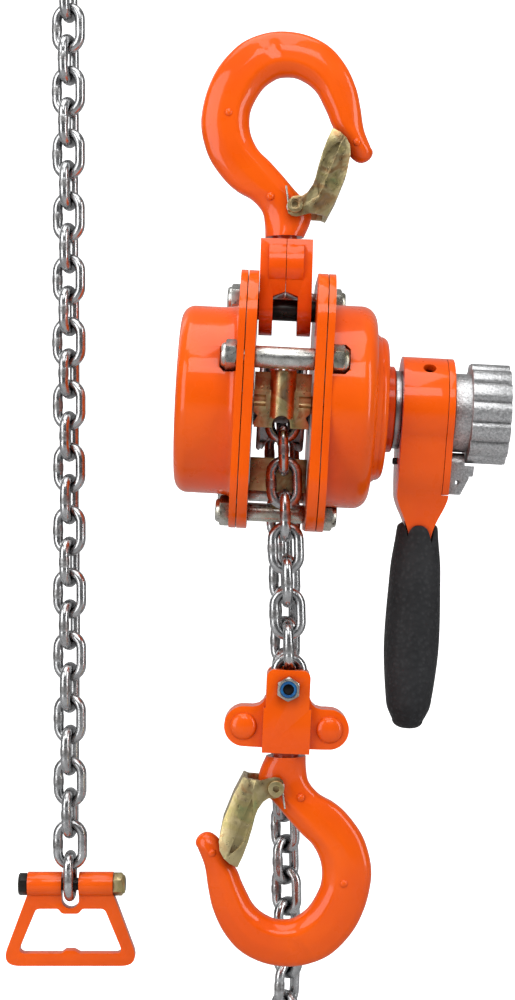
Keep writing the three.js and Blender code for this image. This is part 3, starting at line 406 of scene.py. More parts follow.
def chain_metal():
    m = Mat("zinc_chain")
    a = m.add("ShaderNodeAttribute", attribute_name="weld").outputs["Fac"]
    tone = m.ramp(m.noise(230, 4, 0.6), (0.30, (0.36, 0.365, 0.37)), (0.55, (0.56, 0.565, 0.57)), (0.8, (0.68, 0.685, 0.69)))
    # painted shade: the zinc is mixed towards near black in creases and where links meet, masked by ambient occlusion
    painted_shade_mask = m.remap(m.occlusion(0.004), 0.15, 0.9, 0.0, 1.0)
    tone = m.mix(painted_shade_mask, m.mix(0.72, tone, (0.05, 0.05, 0.055)), tone)
    band = m.math("MULTIPLY", a, m.remap(m.noise(900, 4, 0.7), 0.35, 0.62, 0.25, 1.0))
    m.set(base=m.mix(band, tone, (0.20, 0.195, 0.19)), metal=1.0)
    pits = m.remap(m.cells(520), 0.06, 0.22, 0.0, 1.0)
    m.set(rough=m.math("ADD", m.remap(m.noise(420, 4, 0.6), 0.3, 0.7, 0.15, 0.34), m.math("MULTIPLY", band, 0.25)))
    m.bump(m.math("ADD", m.math("ADD", m.noise(340, 4, 0.55), m.math("MULTIPLY", pits, 0.16)), m.math("MULTIPLY", a, m.noise(1300, 3))), 0.42, 0.00022)
    return m.m

def plated(name, dark, mid, light, rlo, rhi, grain=700, bump=0.2, brush=None):
    m = Mat(name)
    tone = m.ramp(m.noise(150, 4, 0.65), (0.32, dark), (0.5, mid), (0.68, light))
    # painted shade: the plating is mixed towards a dark brown grey in creases and recesses, masked by ambient
    # occlusion
    painted_shade_mask = m.remap(m.occlusion(0.003), 0.2, 0.9, 0.0, 1.0)
    m.set(base=m.mix(painted_shade_mask, m.mix(0.6, tone, (0.05, 0.04, 0.03)), tone), metal=1.0)
    m.set(rough=m.remap(m.noise(grain * 0.6, 4, 0.6), 0.3, 0.7, rlo, rhi))
    m.bump(m.noise(grain, 4, 0.6), bump, 0.00018)
    return m.m

def yellow_zinc():
    m = Mat("yellow_zinc")
    hue = m.ramp(m.noise(95, 3, 0.6, 0.8), (0.30, (0.36, 0.38, 0.17)), (0.42, (0.52, 0.43, 0.19)), (0.52, (0.60, 0.50, 0.27)), (0.62, (0.48, 0.29, 0.13)), (0.74, (0.40, 0.30, 0.22)))
    # painted shade: the plating is mixed towards a dark brown in creases and recesses, masked by ambient occlusion
    painted_shade_mask = m.remap(m.occlusion(0.003), 0.2, 0.9, 0.0, 1.0)
    m.set(base=m.mix(painted_shade_mask, m.mix(0.72, hue, (0.08, 0.034, 0.008)), hue), metal=1.0)
    m.set(rough=m.remap(m.noise(500, 4, 0.6), 0.3, 0.7, 0.24, 0.44))
    m.bump(m.math("ADD", m.noise(1100, 4, 0.7), m.math("MULTIPLY", m.noise(240, 3), 0.7)), 0.42, 0.00016)
    return m.m

def cast_zinc():
    m = Mat("cast_zinc")
    tone = m.ramp(m.noise(1200, 5, 0.75), (0.35, (0.34, 0.345, 0.35)), (0.52, (0.58, 0.585, 0.59)), (0.70, (0.82, 0.825, 0.83)))
    # painted shade: the casting is mixed towards dark grey in creases and recesses, masked by ambient occlusion
    painted_shade_mask = m.remap(m.occlusion(0.003), 0.2, 0.9, 0.0, 1.0)
    m.set(base=m.mix(painted_shade_mask, m.mix(0.6, tone, (0.12, 0.12, 0.12)), tone), metal=1.0)
    m.set(rough=m.remap(m.noise(900, 4, 0.6), 0.3, 0.7, 0.28, 0.50))
    m.bump(m.math("ADD", m.noise(1500, 4, 0.7), m.math("MULTIPLY", m.cells(1300), 0.8)), 0.55, 0.00016)
    return m.m

def black_steel():
    m = Mat("black_oxide")
    m.set(base=m.ramp(m.noise(200, 4), (0.3, (0.012, 0.011, 0.011)), (0.7, (0.045, 0.041, 0.038))), metal=0.75, rough=m.remap(m.noise(400, 4), 0.3, 0.7, 0.26, 0.46))
    m.bump(m.noise(900, 4, 0.6), 0.2, 0.00012)
    return m.m

def rubber():
    m = Mat("grip_rubber")
    warp = m.cells(620, "SMOOTH_F1")
    grain = m.math("ADD", m.remap(warp, 0.0, 0.75, 1.0, 0.0), m.math("MULTIPLY", m.noise(1900, 4, 0.7), 0.55))
    tone = m.ramp(m.noise(60, 4, 0.6), (0.3, (0.009, 0.0093, 0.0105)), (0.7, (0.020, 0.0205, 0.0225)))
    crest = m.remap(grain, 0.75, 1.25, 0.0, 1.0)
    m.set(base=m.mix(m.math("MULTIPLY", crest, 0.4), tone, (0.042, 0.043, 0.046)))
    m.set(rough=m.remap(grain, 0.5, 1.3, 0.66, 0.46), spec=0.32)
    m.bump(grain, 0.85, 0.00030)
    return m.m

def lining():
    m = Mat("brake_lining")
    m.set(base=m.ramp(m.noise(800, 5, 0.7), (0.35, (0.055, 0.036, 0.024)), (0.65, (0.13, 0.09, 0.06))), rough=0.85)
    m.bump(m.noise(1400, 4, 0.7), 0.4, 0.0002)
    return m.m

def nylon_blue():
    m = Mat("blue_insert")
    m.set(base=m.ramp(m.noise(600, 3), (0.3, (0.004, 0.07, 0.24)), (0.7, (0.008, 0.14, 0.38))), rough=0.3, coat=0.3, coat_rough=0.15)
    m.bump(m.noise(900, 3), 0.15, 0.0001)
    return m.m

PAINT = paint()
CHAIN = chain_metal()
ZINC = plated("zinc_plate", (0.36, 0.35, 0.32), (0.60, 0.60, 0.57), (0.74, 0.735, 0.70), 0.20, 0.42, 900, 0.38)
MIXED = plated("dull_zinc", (0.34, 0.30, 0.20), (0.58, 0.56, 0.48), (0.74, 0.73, 0.70), 0.18, 0.38, 700, 0.35)
GOLD = yellow_zinc()
BLACK = black_steel()
STEEL = plated("machined_steel", (0.30, 0.30, 0.31), (0.45, 0.45, 0.46), (0.56, 0.56, 0.57), 0.24, 0.42, 1200, 0.15)
CAST = cast_zinc()
RUBBER = rubber()
LINING = lining()
NYLON = nylon_blue()

# ---------------------------------------------------------------- hooks
HOOK = [
    (7.2, 62.3, -7.3, 62.3, 6.6), (9.4, 67.4, -7.5, 67.4, 5.9), (9.9, 71.5, -8.5, 72.0, 5.7), (6.9, 76.5, -12.3, 76.4, 5.6),
    (3.6, 80.2, -17.5, 79.4, 5.7), (-0.6, 85.2, -22.0, 83.2, 5.9), (-5.5, 90.6, -26.9, 89.6, 6.0), (-10.0, 95.2, -29.5, 95.2, 6.0),
    (-12.8, 101.5, -31.2, 102.6, 6.0), (-13.0, 108.2, -31.0, 109.4, 6.0), (-11.1, 113.4, -28.7, 118.3, 6.0), (-7.8, 118.3, -24.2, 126.9, 6.0),
    (-3.9, 121.2, -16.7, 134.6, 6.0), (-1.2, 122.2, -8.5, 138.3, 6.0), (3.4, 122.2, -0.3, 139.3, 6.0), (6.8, 120.9, 8.7, 137.8, 5.9),
    (9.8, 118.9, 16.9, 133.5, 5.8), (12.3, 116.1, 22.9, 126.5, 5.6), (14.3, 112.3, 26.7, 118.3, 5.4), (16.2, 108.2, 28.4, 110.8, 5.2),
    (17.7, 104.4, 29.7, 102.6, 5.0), (21.3, 98.1, 32.3, 95.8, 4.6)]
# half section: share of the width from the inner edge, share of the half thickness
SECTION = [(0.0, 0.0), (0.003, 0.16), (0.012, 0.31), (0.035, 0.47), (0.085, 0.64), (0.15, 0.79), (0.215, 0.915), (0.265, 0.98), (0.31, 1.0),
           (0.37, 0.985), (0.46, 0.970), (0.55, 0.950), (0.61, 0.920), (0.68, 0.860), (0.76, 0.785), (0.84, 0.705), (0.915, 0.60), (0.965, 0.45), (0.992, 0.24), (1.0, 0.0)]

def hook_mesh():
    K = len(SECTION)
    oval = [(0.5 - 0.5 * math.cos(math.pi * k / (K - 1)), math.sin(math.pi * k / (K - 1))) for k in range(K)]
    line = smooth_line(HOOK, 9)
    total = len(line) - 1
    rings = []
    def ring(ix, iz, ox, oz, h, b, dip=0.0):
        half = [(s[0] * (1 - b) + o[0] * b, s[1] * (1 - b) + o[1] * b) for s, o in zip(SECTION, oval)]
        pts = half + [(u, -v) for u, v in reversed(half[1:-1])]
        out = []
        for u, v in pts:
            k = 1 - dip * max(0.0, min(1.0, (u - 0.42) / 0.1)) * (1 if u < 0.99 else 0)
            out.append((ix + (ox - ix) * u, v * h * k, iz + (oz - iz) * u))
        return out
    for i, (ix, iz, ox, oz, h) in enumerate(line):
        s = i / total * (len(HOOK) - 1)
        b = max(0.0, 1 - s / 3.2) ** 1.2
        tip = max(0.0, (s - 18.2) / 2.8)
        b = max(b, tip ** 1.3)
        dip = 0.085 * max(0.0, 1 - abs(s - 13.15) / 0.42) ** 0.5 if abs(s - 13.15) < 0.42 else 0.0
        rings.append(ring(ix, iz, ox, oz, h, min(1, b), dip))
    # rounded point
    ix, iz, ox, oz, h = line[-1]
    cx, cz = (ix + ox) / 2, (iz + oz) / 2
    ex, ez = 30.1, 90.5
    for k in range(1, 9):
        a = rad(90 * k / 8)
        w = math.sin(a)
        f = max(0.02, (1 - w ** 2.5) ** (1 / 2.5))
        mx, mz = cx + (ex - cx) * w, cz + (ez - cz) * w
        # the last station turns until it is square to the point
        dx, dz = (ox - ix) / 2, (oz - iz) / 2
        L = math.hypot(dx, dz)
        nx, nz = dx / L * (1 - w) + 0.93 * w, dz / L * (1 - w) + 0.36 * w
        n = math.hypot(nx, nz)
        hw = (L * (1 - w) + 4.3 * w) * f
        rings.append(ring(mx - nx / n * hw, mz - nz / n * hw, mx + nx / n * hw, mz + nz / n * hw, (h * (1 - w) + 3.8 * w) * f, 1.0))
    me = loft(rings)
    ops = [("+", cyl_z(4.7, 50.2, 63.5, 0, 0, 56))]
    return csg(me, *ops)

def dome(x, z, y, r, h, sign=-1):
    prof = [(0.0, h)] + [(r * math.sin(rad(a)), h * math.cos(rad(a))) for a in range(10, 91, 10)]
    vs, fs, n = [], [], 28
    vs.append((x, y + sign * h, z))
    for k, (q, t) in enumerate(prof[1:]):
        for i in range(n):
            a = 2 * math.pi * i / n
            vs.append((x + q * math.cos(a), y + sign * t, z + q * math.sin(a)))
    m = len(prof) - 1
    for i in range(n):
        fs.append((0, 1 + i, 1 + (i + 1) % n))
    for k in range(m - 1):
        for i in range(n):
            j = (i + 1) % n
            fs.append((1 + k * n + i, 1 + k * n + j, 1 + (k + 1) * n + j, 1 + (k + 1) * n + i))
    base = len(vs)
    for i in range(n):
        a = 2 * math.pi * i / n
        vs.append((x + r * math.cos(a), y - sign * 1.2, z + r * math.sin(a)))
    for i in range(n):
        j = (i + 1) % n
        fs.append((1 + (m - 1) * n + i, 1 + (m - 1) * n + j, base + j, base + i))
    fs.append(list(range(base, base + n)))
    return prim(vs, fs)

LX, LZ = 3.62, 72.9
LATCH_OUT = [(1.1, 70.2), (0.9, 72.6), (1.5, 75.0), (2.6, 76.2), (4.1, 76.6), (6.4, 76.6), (8.3, 77.9), (10.2, 80.6), (11.2, 83.2), (12.3, 87.6), (13.8, 92.6), (15.6, 97.4), (17.6, 101.6),
             (20.4, 100.2), (22.6, 98.2), (24.0, 95.6), (24.3, 92.2), (22.9, 85.2), (19.0, 75.6), (15.4, 68.9), (13.6, 69.7), (9.0, 70.2), (6.3, 69.3), (4.2, 68.9), (2.4, 69.2)]
LATCH_IN = [(-2, 66.2), (-2, 79.9), (4.1, 79.9), (7.0, 79.0), (8.7, 81.0), (10.8, 87.6), (12.8, 95.2), (15.9, 101.9), (18.9, 97.2), (22.4, 92.0), (21.5, 85.6), (17.9, 76.4), (14.4, 71.2), (13.2, 66.2)]

def latch_mesh():
    full = along_y(LATCH_OUT, -8.6, 8.6)
    inner = along_y(LATCH_IN, -7.2, 7.2)
    me = csg(full, ("-", inner), ("-", cyl_y(2.15, -12, 12, LX, LZ)))
    # the long outer side folds back, and each cheek carries a pressed, lens shaped hollow
    for s in (-1, 1):
        fold = [(22.6, 99.5), (20.2, 94.3), (16.2, 84.8), (12.4, 75.6), (10.8, 69.6), (15.0, 66.0), (30.0, 84.0), (28.0, 98.0)]
        ny = 0.16
        verts, faces = [], []
        n = len(fold)
        # a wedge: deepest on the far side of the fold line
        for (x, z) in fold:
            d = max(0.0, (x - 12.4) * 0.924 - (z - 75.6) * 0.382)
            verts.append((x, s * (8.62 - d * ny), z))
        for (x, z) in fold:
            verts.append((x, s * 12, z))
        faces = [list(range(n)), list(range(2 * n - 1, n - 1, -1))] + [(i, (i + 1) % n, n + (i + 1) % n, n + i) for i in range(n)]
        tri = prim(verts, faces)
        bm = bmesh.new(); bm.from_mesh(tri)
        bmesh.ops.triangulate(bm, faces=bm.faces); bmesh.ops.recalc_face_normals(bm, faces=bm.faces)
        bm.to_mesh(tri); bm.free()
        lens = [(12.3, 76.6), (11.9, 79.6), (11.9, 82.4), (12.6, 86.0), (13.8, 89.4), (15.3, 92.2), (17.2, 94.6), (19.4, 96.2), (20.6, 96.4), (19.7, 93.8), (17.6, 88.8), (15.4, 83.4), (13.6, 79.2)]
        y0, y1 = sorted((s * 7.45, s * 10))
        w0, w1 = sorted((s * 5.6, s * 7.4))
        wall = csg(along_y([(x + 0.9, z - 0.3) for x, z in fold], w0, w1), ("&", along_y(LATCH_OUT, -8.6, 8.6)))
        me = csg(me, ("+", wall), ("-", tri), ("-", along_y(lens, y0, y1)))
    return bevelled(me, 0.22, 2, 30)

def latch_bolt():
    me = csg(cyl_y(1.95, -8.9, 8.9, LX, LZ), ("+", cyl_y(2.85, -10.9, -8.7, LX, LZ)), ("-", cyl_y(1.35, -11.5, -9.6, LX, LZ, 6)), ("+", cyl_y(2.8, 8.7, 10.2, LX, LZ)))
    return bevelled(me, 0.28, 3, 40)

def latch_spring():
    p = [(0.4, -6.5, 80.6)]
    for i in range(19):
        a = rad(150 + 15 * i)
        p.append((LX + 2.75 * math.cos(a), -6.5 - 0.01 * i, LZ + 2.75 * math.sin(a)))
    p += [(8.4, -6.68, 73.4), (11.5, -6.7, 75.8), (15.6, -6.7, 82.5)]
    return sweep([tuple(q) for q in smooth_line(p, 4)], 0.36, 10)

def hook_set(prefix, T):
    hook = place(prefix + "_hook_forging", hook_mesh(), T, PAINT, prefix + "_hook", [prefix + "_hook"], 50)
    for k, (x, z, y) in enumerate([(-20.9, 108.0, -5.55), (-5.4, 76.9, -5.15), (26.8, 97.2, -4.25), (-20.9, 108.0, 5.55), (26.8, 97.2, 4.25)]):
        place(f"{prefix}_hook_mark_{k + 1}", dome(x, z, y, 1.5, 1.0, -1 if y < 0 else 1), T, PAINT, prefix + "_hook", sharp=60)
    place(prefix + "_latch_plate", latch_mesh(), T, GOLD, prefix + "_latch", [prefix + "_latch"], 28)
    place(prefix + "_latch_screw", latch_bolt(), T, GOLD, prefix + "_hook", [prefix + "_latch_bolt"], 40)
    place(prefix + "_latch_wire", latch_spring(), T, ZINC, prefix + "_latch", [prefix + "_latch_spring"], 60)

hook_set("top", ONE)
hook_set("bottom", T_LOWER)
def collar(r, z0):
    return bevelled(csg(cyl_z(4.7, 49.5, 50.0, 0, 0, 64), ("+", cyl_z(r, z0, 49.7, 0, 0, 96))), 0.25, 2, 40)
place("top_collar_ring", collar(7.0, 46.6), ONE, BLACK, "top_hook", ["top_hook_collar"])
place("bottom_collar_ring", collar(6.6, 47.6), T_LOWER, BLACK, "bottom_hook", ["bottom_hook_collar"])

# ---------------------------------------------------------------- yoke
def yoke_half(s):
    out = arc(0, 35, 9.6, 180, 360, 28) + [(9.0, 52), (7.6, 60.8), (-7.6, 60.8), (-9.0, 52)]
    b = along_x(out, 0.12, 9.7)
    b = csg(b, ("+", cyl_x(10.9, 0.12, 6.4, 0, 51.2, 96)), ("&", box(-1, 12, -20, 20, 20, 60.8)),
            ("-", along_y([(-1, 20), (4.6, 20), (4.6, 39.3), (-1, 41.4)], -20, 20)),
            ("-", cyl_z(6.0, 50, 70)), ("-", cyl_z(7.7, 45.4, 52.2)), ("-", cyl_x(4.35, -20, 20, 0, 35, 64)))
    b = bevelled(b, 0.55, 3, 30)
    return moved(b, Matrix.Scale(-1, 4, (1, 0, 0))) if s < 0 else b
place("yoke_left_casting", yoke_half(-1), T_YOKE, PAINT, "yoke", ["yoke_left_half"])
place("yoke_right_casting", yoke_half(1), T_YOKE, PAINT, "yoke", ["yoke_right_half"])

# ---------------------------------------------------------------- frame
GAPX, PT, FT = 10.7, 3.6, 2.8
XF = GAPX + PT + 0.05
STAYS = [("front", -33, 14.5), ("lower", 3, -41.0), ("upper", 22, 41.0), ("rear", 31, -33.5)]
OUTLINE = round_rect(38, 47, 20)
FRAME = "hoist_frame"
def stay_holes():
    return [("-", cyl_x(2.6, -17.65, 17.65, y, z, 40)) for _, y, z in STAYS]
def side_plate(x0, x1):
    b = csg(along_x(OUTLINE, x0, x1), *stay_holes(), ("-", cyl_x(4.05, -30, 30, 0, 35)), ("-", cyl_x(11.6, -30, 30, 0, 0, 96)))
    return bevelled(b, 0.5, 3, 40)
place("gear_plate", side_plate(-GAPX - PT, -GAPX), T_BODY, PAINT, FRAME, ["gear_side_plate"])
post = lambda: cyl_x(1.5, GAPX + 1, 29.6, -9, 30.6, 40)
place("brake_plate", csg(side_plate(GAPX, GAPX + PT), ("+", post()), ("+", moved(post(), Matrix.Rotation(rad(135), 4, "X")))), T_BODY, PAINT, FRAME, ["brake_side_plate"])
place("suspension_bolt", bevelled(cyl_x(4.0, -GAPX - PT, GAPX + PT, 0, 35, 72), 0.4, 2, 40), T_BODY, BLACK, FRAME, ["suspension_pin"])

def pocket(ops_base, drum, y, z, s):
    x0, x1 = s * XF, s * (XF + FT)
    lo, hi = min(x0, x1 + s * 7.8), max(x0, x1 + s * 7.8)
    skin = csg(cyl_x(7.6, lo, hi, y, z, 72), ("&", drum))
    prof = [(x1, 0), (x1, 6.05), (x1 + s * 4.6, 6.05), (x1 + s * 6.4, 4.3), (x1 + s * 6.4, 0)]
    return csg(ops_base, ("+", skin), ("-", lathe(prof, 72, lambda d, u, v: (d, y + u, z + v))))

def gear_cover():
    x0, xe, r = -XF - FT, -40.0, 34.9
    b = along_x(OUTLINE, -XF - FT, -XF - 0.3)
    prof = [(x0 + 1, 0), (x0 + 1, r + 1.9), (x0 + 0.1, r + 1.6), (x0 - 0.6, r + 0.95), (x0 - 1.6, r + 0.5), (x0 - 3.2, r + 0.2), (x0 - 6, r)] + arc(xe + 5.2, r - 5.2, 5.2, 90, 180, 14) + [(xe, 0)]
    drum = lathe(prof, 160)
    b = csg(b, ("+", drum), ("-", lathe([(-XF + 1, 0), (-XF + 1, r - 2.3), (xe + 4.4, r - 2.3), (xe + 2.3, r - 4.4), (xe + 2.3, 0)], 96)),
            ("+", lathe([(xe + 1, 4.9), (xe + 1, 9.2), (xe + 5.4, 9.2), (xe + 5.4, 4.9), (xe + 1, 4.9)], 64)), ("-", cyl_x(4.9, xe + 0.9, xe + 6, 0, 0, 64)))
    b = pocket(b, lathe(prof, 160), -33, 14.5, -1)
    return bevelled(csg(b, *stay_holes()), 0.6, 3, 32)
place("gear_case", gear_cover(), T_BODY, PAINT, FRAME, ["gear_cover"], 40)

def brake_cover():
    R1, X1, R2, X2, R3, X3 = 37.8, 34.5, 26.8, 39.5, 16.1, 42.7
    b = along_x(OUTLINE, XF + 0.3, XF + FT)
    prof = [(XF + 1, 0), (XF + 1, R1)] + arc(X1 - 6, R1 - 6, 6, 90, 8, 14) + arc(X1 + 1.6, R2 + 2.4, 1.6, 180, 250, 6) + [(X1 + 2.2, R2)] + \
        arc(X2 - 2.8, R2 - 2.8, 2.8, 90, 0, 10) + [(X2, R3 + 0.5), (X2 + 0.25, R3), (X3 - 0.5, R3), (X3, R3 - 0.5), (X3, 0)]
    b = csg(b, ("+", lathe(prof, 176)), ("-", lathe([(XF - 1, 0), (XF - 1, 35.3), (X1 - 4.6, 35.3), (X1 - 2.4, 33), (X1 - 2.4, 24.4), (X2 - 2.4, 24.4), (X2 - 2.4, 0)], 96)),
            ("-", cyl_x(13.4, 30, 60, 0, 0, 96)))
    b = pocket(b, lathe(prof, 176), -33, 14.5, 1)
    b = pocket(b, lathe(prof, 176), 3, -41, 1)
    return bevelled(csg(b, *stay_holes()), 0.6, 3, 32)
place("brake_case", brake_cover(), T_BODY, PAINT, FRAME, ["brake_cover"], 40)

def hexa(axis, r, d0, d1, a, b, turn=90, cham=0.55, ends=(1, 1)):
    """Hexagon with its corners turned down at the ends, as a nut or bolt head has."""
    pts = [(a + r * math.cos(rad(turn + 60 * i)), b + r * math.sin(rad(turn + 60 * i))) for i in range(6)]
    me = {"x": along_x, "y": along_y}[axis](pts, d0, d1)
    r0 = r * 0.885 if ends[0] else r * 1.02
    r1 = r * 0.885 if ends[1] else r * 1.02
    prof = [(d0, 0), (d0, r0), (d0 + cham, r * 1.01), (d1 - cham, r * 1.01), (d1, r1), (d1, 0)]
    to = {"x": lambda d, u, v: (d, a + u, b + v), "y": lambda d, u, v: (a + u, d, b + v)}[axis]
    return csg(me, ("&", lathe(prof, 72, to)))

def round_cap(x0, x1, r, y, z, s, rx=0.9):
    lo = [(0, r), (0.35, r - 0.05), (1 - 0.35, r * 0.93), (0.9, r * 0.86), (1.0, r * 0.74)]
    prof = [(x0, 0)] + [(x0 + (x1 - x0) * t, q) for t, q in lo] + [(x1, 0)]
    return lathe(prof, 64, lambda d, u, v: (d, y + u, z + v))

def stay_mesh(y, z):
    x0 = -XF - FT - 0.05
    me = csg(bevelled(cyl_x(3.95 if y < -30 else 3.5, -GAPX + 0.05, GAPX - 0.05, y, z, 64), 0.3, 2, 40), ("+", cyl_x(2.5, -XF - FT - 0.2, XF + FT + 5.4, y, z, 48)),
             ("+", hexa("x", 5.75, x0 - 4.2, x0, y, z)), ("+", round_cap(x0 - 4.1, x0 - 5.9, 4.5, y, z, -1)))
    return bevelled(me, 0.2, 2, 40)
def nut_mesh(y, z):
    x0 = XF + FT + 0.05
    me = csg(hexa("x", 5.75, x0, x0 + 4.2, y, z), ("+", round_cap(x0 + 4.1, x0 + 5.9, 4.5, y, z, 1)), ("-", cyl_x(2.62, x0 - 1, x0 + 10, y, z, 48)))
    return bevelled(me, 0.2, 2, 40)
for n, y, z in STAYS:
    place(n + "_stay_bolt", stay_mesh(y, z), T_BODY, ZINC if n != "lower" else MIXED, FRAME, [n + "_stay"])
    place(n + "_stay_hexnut", nut_mesh(y, z), T_BODY, MIXED, FRAME, [n + "_stay_nut"])

# ---------------------------------------------------------------- sheave, guide, stripper
SHEAVE_PHASE = 21.32518726945395
def sheave():
    prof = [(-10.4, 5.8), (-10.4, 8.4), (-8.8, 8.4), (-8.8, 17.0), (-8.3, 17.6), (-6.6, 18.1), (-6.2, 18.0), (-2.9, 12.6), (-2.7, 12.2), (-2.7, 7.2), (2.7, 7.2), (2.7, 12.2), (2.9, 12.6), (6.2, 18.0), (6.6, 18.1), (8.3, 17.6), (8.8, 17.0), (8.8, 8.4), (10.4, 8.4), (10.4, 5.8), (-10.4, 5.8)]
    ops = [("-", moved(box(-7.3, 7.3, -10.6, 10.6, 11.8, 20), Matrix.Rotation(rad(SHEAVE_PHASE + 90 * i), 4, "X"))) for i in range(4)]
    return bevelled(csg(lathe(prof, 128), *ops), 0.35, 2, 35)
place("pocket_sheave", sheave(), T_BODY, STEEL, "sheave", ["load_sheave"])

def guide():
    skirt = [(-6.2, 3.3), (-10.2, 3.3), (-10.2, -4.6), (-8.6, -6.2), (-9.9, -8.6), (-9.9, -10.2), (9.9, -10.2), (9.9, -8.6), (8.6, -6.2), (10.2, -4.6), (10.2, 3.3), (6.2, 3.3)]
    mouth = [(-3.3, -12), (3.3, -12), (3.3, -9.2)] + arc(0, -9.2, 3.3, 4, 176, 24) + [(-3.3, -9.2)]
    rim = arc(0, -9.2, 4.7, 0, 180, 32) + [(-4.7, -10.2), (4.7, -10.2)]
    b = csg(along_y(skirt, -27.2, -24.2), ("+", box(-10.3, 10.3, -25.2, -24.0, 2.8, 9.8)), ("+", cyl_z(4.7, -7.0, 10.4, 0, -25.2, 96)),
            ("+", box(-10.4, -7.6, -26.4, -19, -2, 3.3)), ("+", box(7.6, 10.4, -26.4, -19, -2, 3.3)))
    b = csg(b, ("-", cyl_x(2.2, -12, -6.0, -27.9, -0.6, 48)), ("-", cyl_x(2.2, 6.0, 12, -27.9, -0.6, 48)),
            ("+", along_y(rim, -28.3, -24.4)), ("-", along_y(mouth, -32, -20)), ("-", cyl_x(20.4, -7.3, 7.3, 0, 0, 96)), ("-", cyl_x(24.3, -2.9, 2.9, 0, 0, 96)))
    return bevelled(b, 0.35, 3, 32)
place("guide_casting", guide(), T_BODY, GOLD, FRAME, ["chain_guide"], 45)
def stripper():
    b = csg(box(-10.5, 10.5, -8.6, -6.4, -33.0, -20.6), ("+", box(-2.2, 2.2, -8.6, 6.0, -27, -20.6)), ("-", cyl_x(18.9, -2.3, 2.3, 0, 0, 96)))
    return bevelled(b, 0.3, 2, 40)
place("stripper_plate", stripper(), T_BODY, GOLD, FRAME, ["chain_stripper"])

# ---------------------------------------------------------------- shaft, drive hub, handwheel
def gear_outline(teeth, thin, phase):
    rp, pitch, o = teeth / 2, 360 / teeth, []
    ro, ri = rp + 0.9, rp - 1.3
    for i in range(teeth):
        a = phase + i * pitch
        for r, h in ((ri, -pitch * 0.31 + thin * 0.5), (ro, -pitch * 0.12), (ro, pitch * 0.12), (ri, pitch * 0.31 - thin * 0.5)):
            o.append((r * math.cos(rad(a + h)), r * math.sin(rad(a + h))))
    return o
place("main_shaft", bevelled(csg(along_x(gear_outline(10, 1.2, 72), -28.4, -22.1), ("+", cyl_x(3.4, -38, 84.8, 0, 0, 64)), ("+", cyl_x(5.2, -21.9, -14.5, 0, 0, 64))), 0.15, 2, 40),
      T_BODY, STEEL, "wheel_shaft", ["pinion_shaft"])
coarse = [(r * math.cos(rad(30 * i + d)), r * math.sin(rad(30 * i + d))) for i in range(12) for r, d in ((11.2, -11), (13.6, -5), (13.6, 5), (11.2, 11))]
hub = csg(cyl_x(18, 26.2, 29.6), ("+", cyl_x(12.6, 29.4, 45.2)), ("+", cyl_x(14.6, 43.0, 45.1, 0, 0, 96)), ("+", cyl_x(9.0, 45, 62.4)), ("+", along_x(coarse, 51.5, 58.5)), ("-", cyl_x(3.7, 20, 70)))
place("drive_hub_body", bevelled(hub, 0.3, 2, 35), T_BODY, STEEL, "drive_hub", ["drive_hub"])

def handwheel():
    WR, n, o = 18.8, 14, []
    for i in range(n * 14):
        a = 360 * i / (n * 14)
        t = ((a / (360 / n) + 0.5) % 1.0) - 0.5
        lobe = math.sqrt(max(0.0, 1 - (abs(t) * 2 * 0.97) ** 2.6))
        r = WR - 2.3 * (1 - lobe) ** 1.0
        o.append((r * math.cos(rad(a)), r * math.sin(rad(a))))
    b = csg(along_x(o, 72.1, 86.9), ("+", cyl_x(14.7, 66.0, 72.6, 0, 0, 96)), ("-", cyl_x(12.0, 81.9, 88, 0, 0, 80)), ("-", cyl_x(3.7, 60, 90, 0, 0, 56)))
    return bevelled(b, 0.45, 3, 42)
place("handwheel_casting", handwheel(), T_BODY, CAST, "wheel_shaft", ["handwheel"], 38)
place("shaft_hexnut", bevelled(csg(hexa("x", 5.75, 82.0, 85.2, 0, 0), ("-", cyl_x(3.55, 80, 90))), 0.15, 2, 40), T_BODY, ZINC, "wheel_shaft", ["shaft_nut"])

# ---------------------------------------------------------------- lever
L0, L1, LR = 45.4, 65.2, 20.0
side = arc(0, 0, LR, -32, 212, 72)
left = smooth_line([side[-1], (-14.0, -24.0), (-9.9, -32.0), (-7.9, -38.5), (-7.2, -45), (-6.8, -51), (-6.6, -57.5)], 6)[1:]
SIDE = side + [tuple(p) for p in left] + [(-p[0], p[1]) for p in reversed([tuple(q) for q in left])]
flare = [(L1, -31.5), (64.9, -33.4), (63.7, -36.6), (61.8, -40.4), (60.3, -44.2), (59.5, -47.6), (59.25, -51), (59.2, -57.5)]
FRONT = [(L0, 21), (L1, 21)] + [tuple(p) for p in smooth_line(flare, 4)] + [(110.6 - p[0], p[1]) for p in reversed([tuple(q) for q in smooth_line(flare, 4)])]
def lever_body():
    return csg(along_x(SIDE, L0, L1), ("&", along_y(FRONT, -22, 22)))
inside = csg(cyl_x(17.4, 48.2, 62.4, 0, 0, 96), ("+", box(48.2, 62.4, -8.6, 8.6, -30.2, -8)))
scoop = cyl_x(13.0, 47.2, 63.4, -20.6, -44.0, 96)
shell = csg(lever_body(), ("-", inside), ("-", cyl_x(12.9, 40, 50, 0, 0, 96)), ("-", box(62.4, 70, -30, 30, -31.2, 30)), ("-", cyl_x(2.2, 56, 70, 0, -19, 40)),
            ("-", moved(cyl_z(2.0, 14, 25, 55.2, 0, 48, 3.0), Matrix.Rotation(rad(40), 4, "X"))))
place("lever_casting", bevelled(shell, 0.7, 3, 34), T_BODY, PAINT, "lever", ["lever_shell"], 40)
plate = csg(lever_body(), ("&", box(62.6, 70, -30, 30, -31.0, 30)), ("-", cyl_x(9.3, 60, 70, 0, 0, 80)), ("-", cyl_x(2.3, 50, 70, 0, -19, 40)))
place("lever_side_plate", bevelled(plate, 0.6, 3, 34), T_BODY, PAINT, "lever", ["lever_cover"], 40)

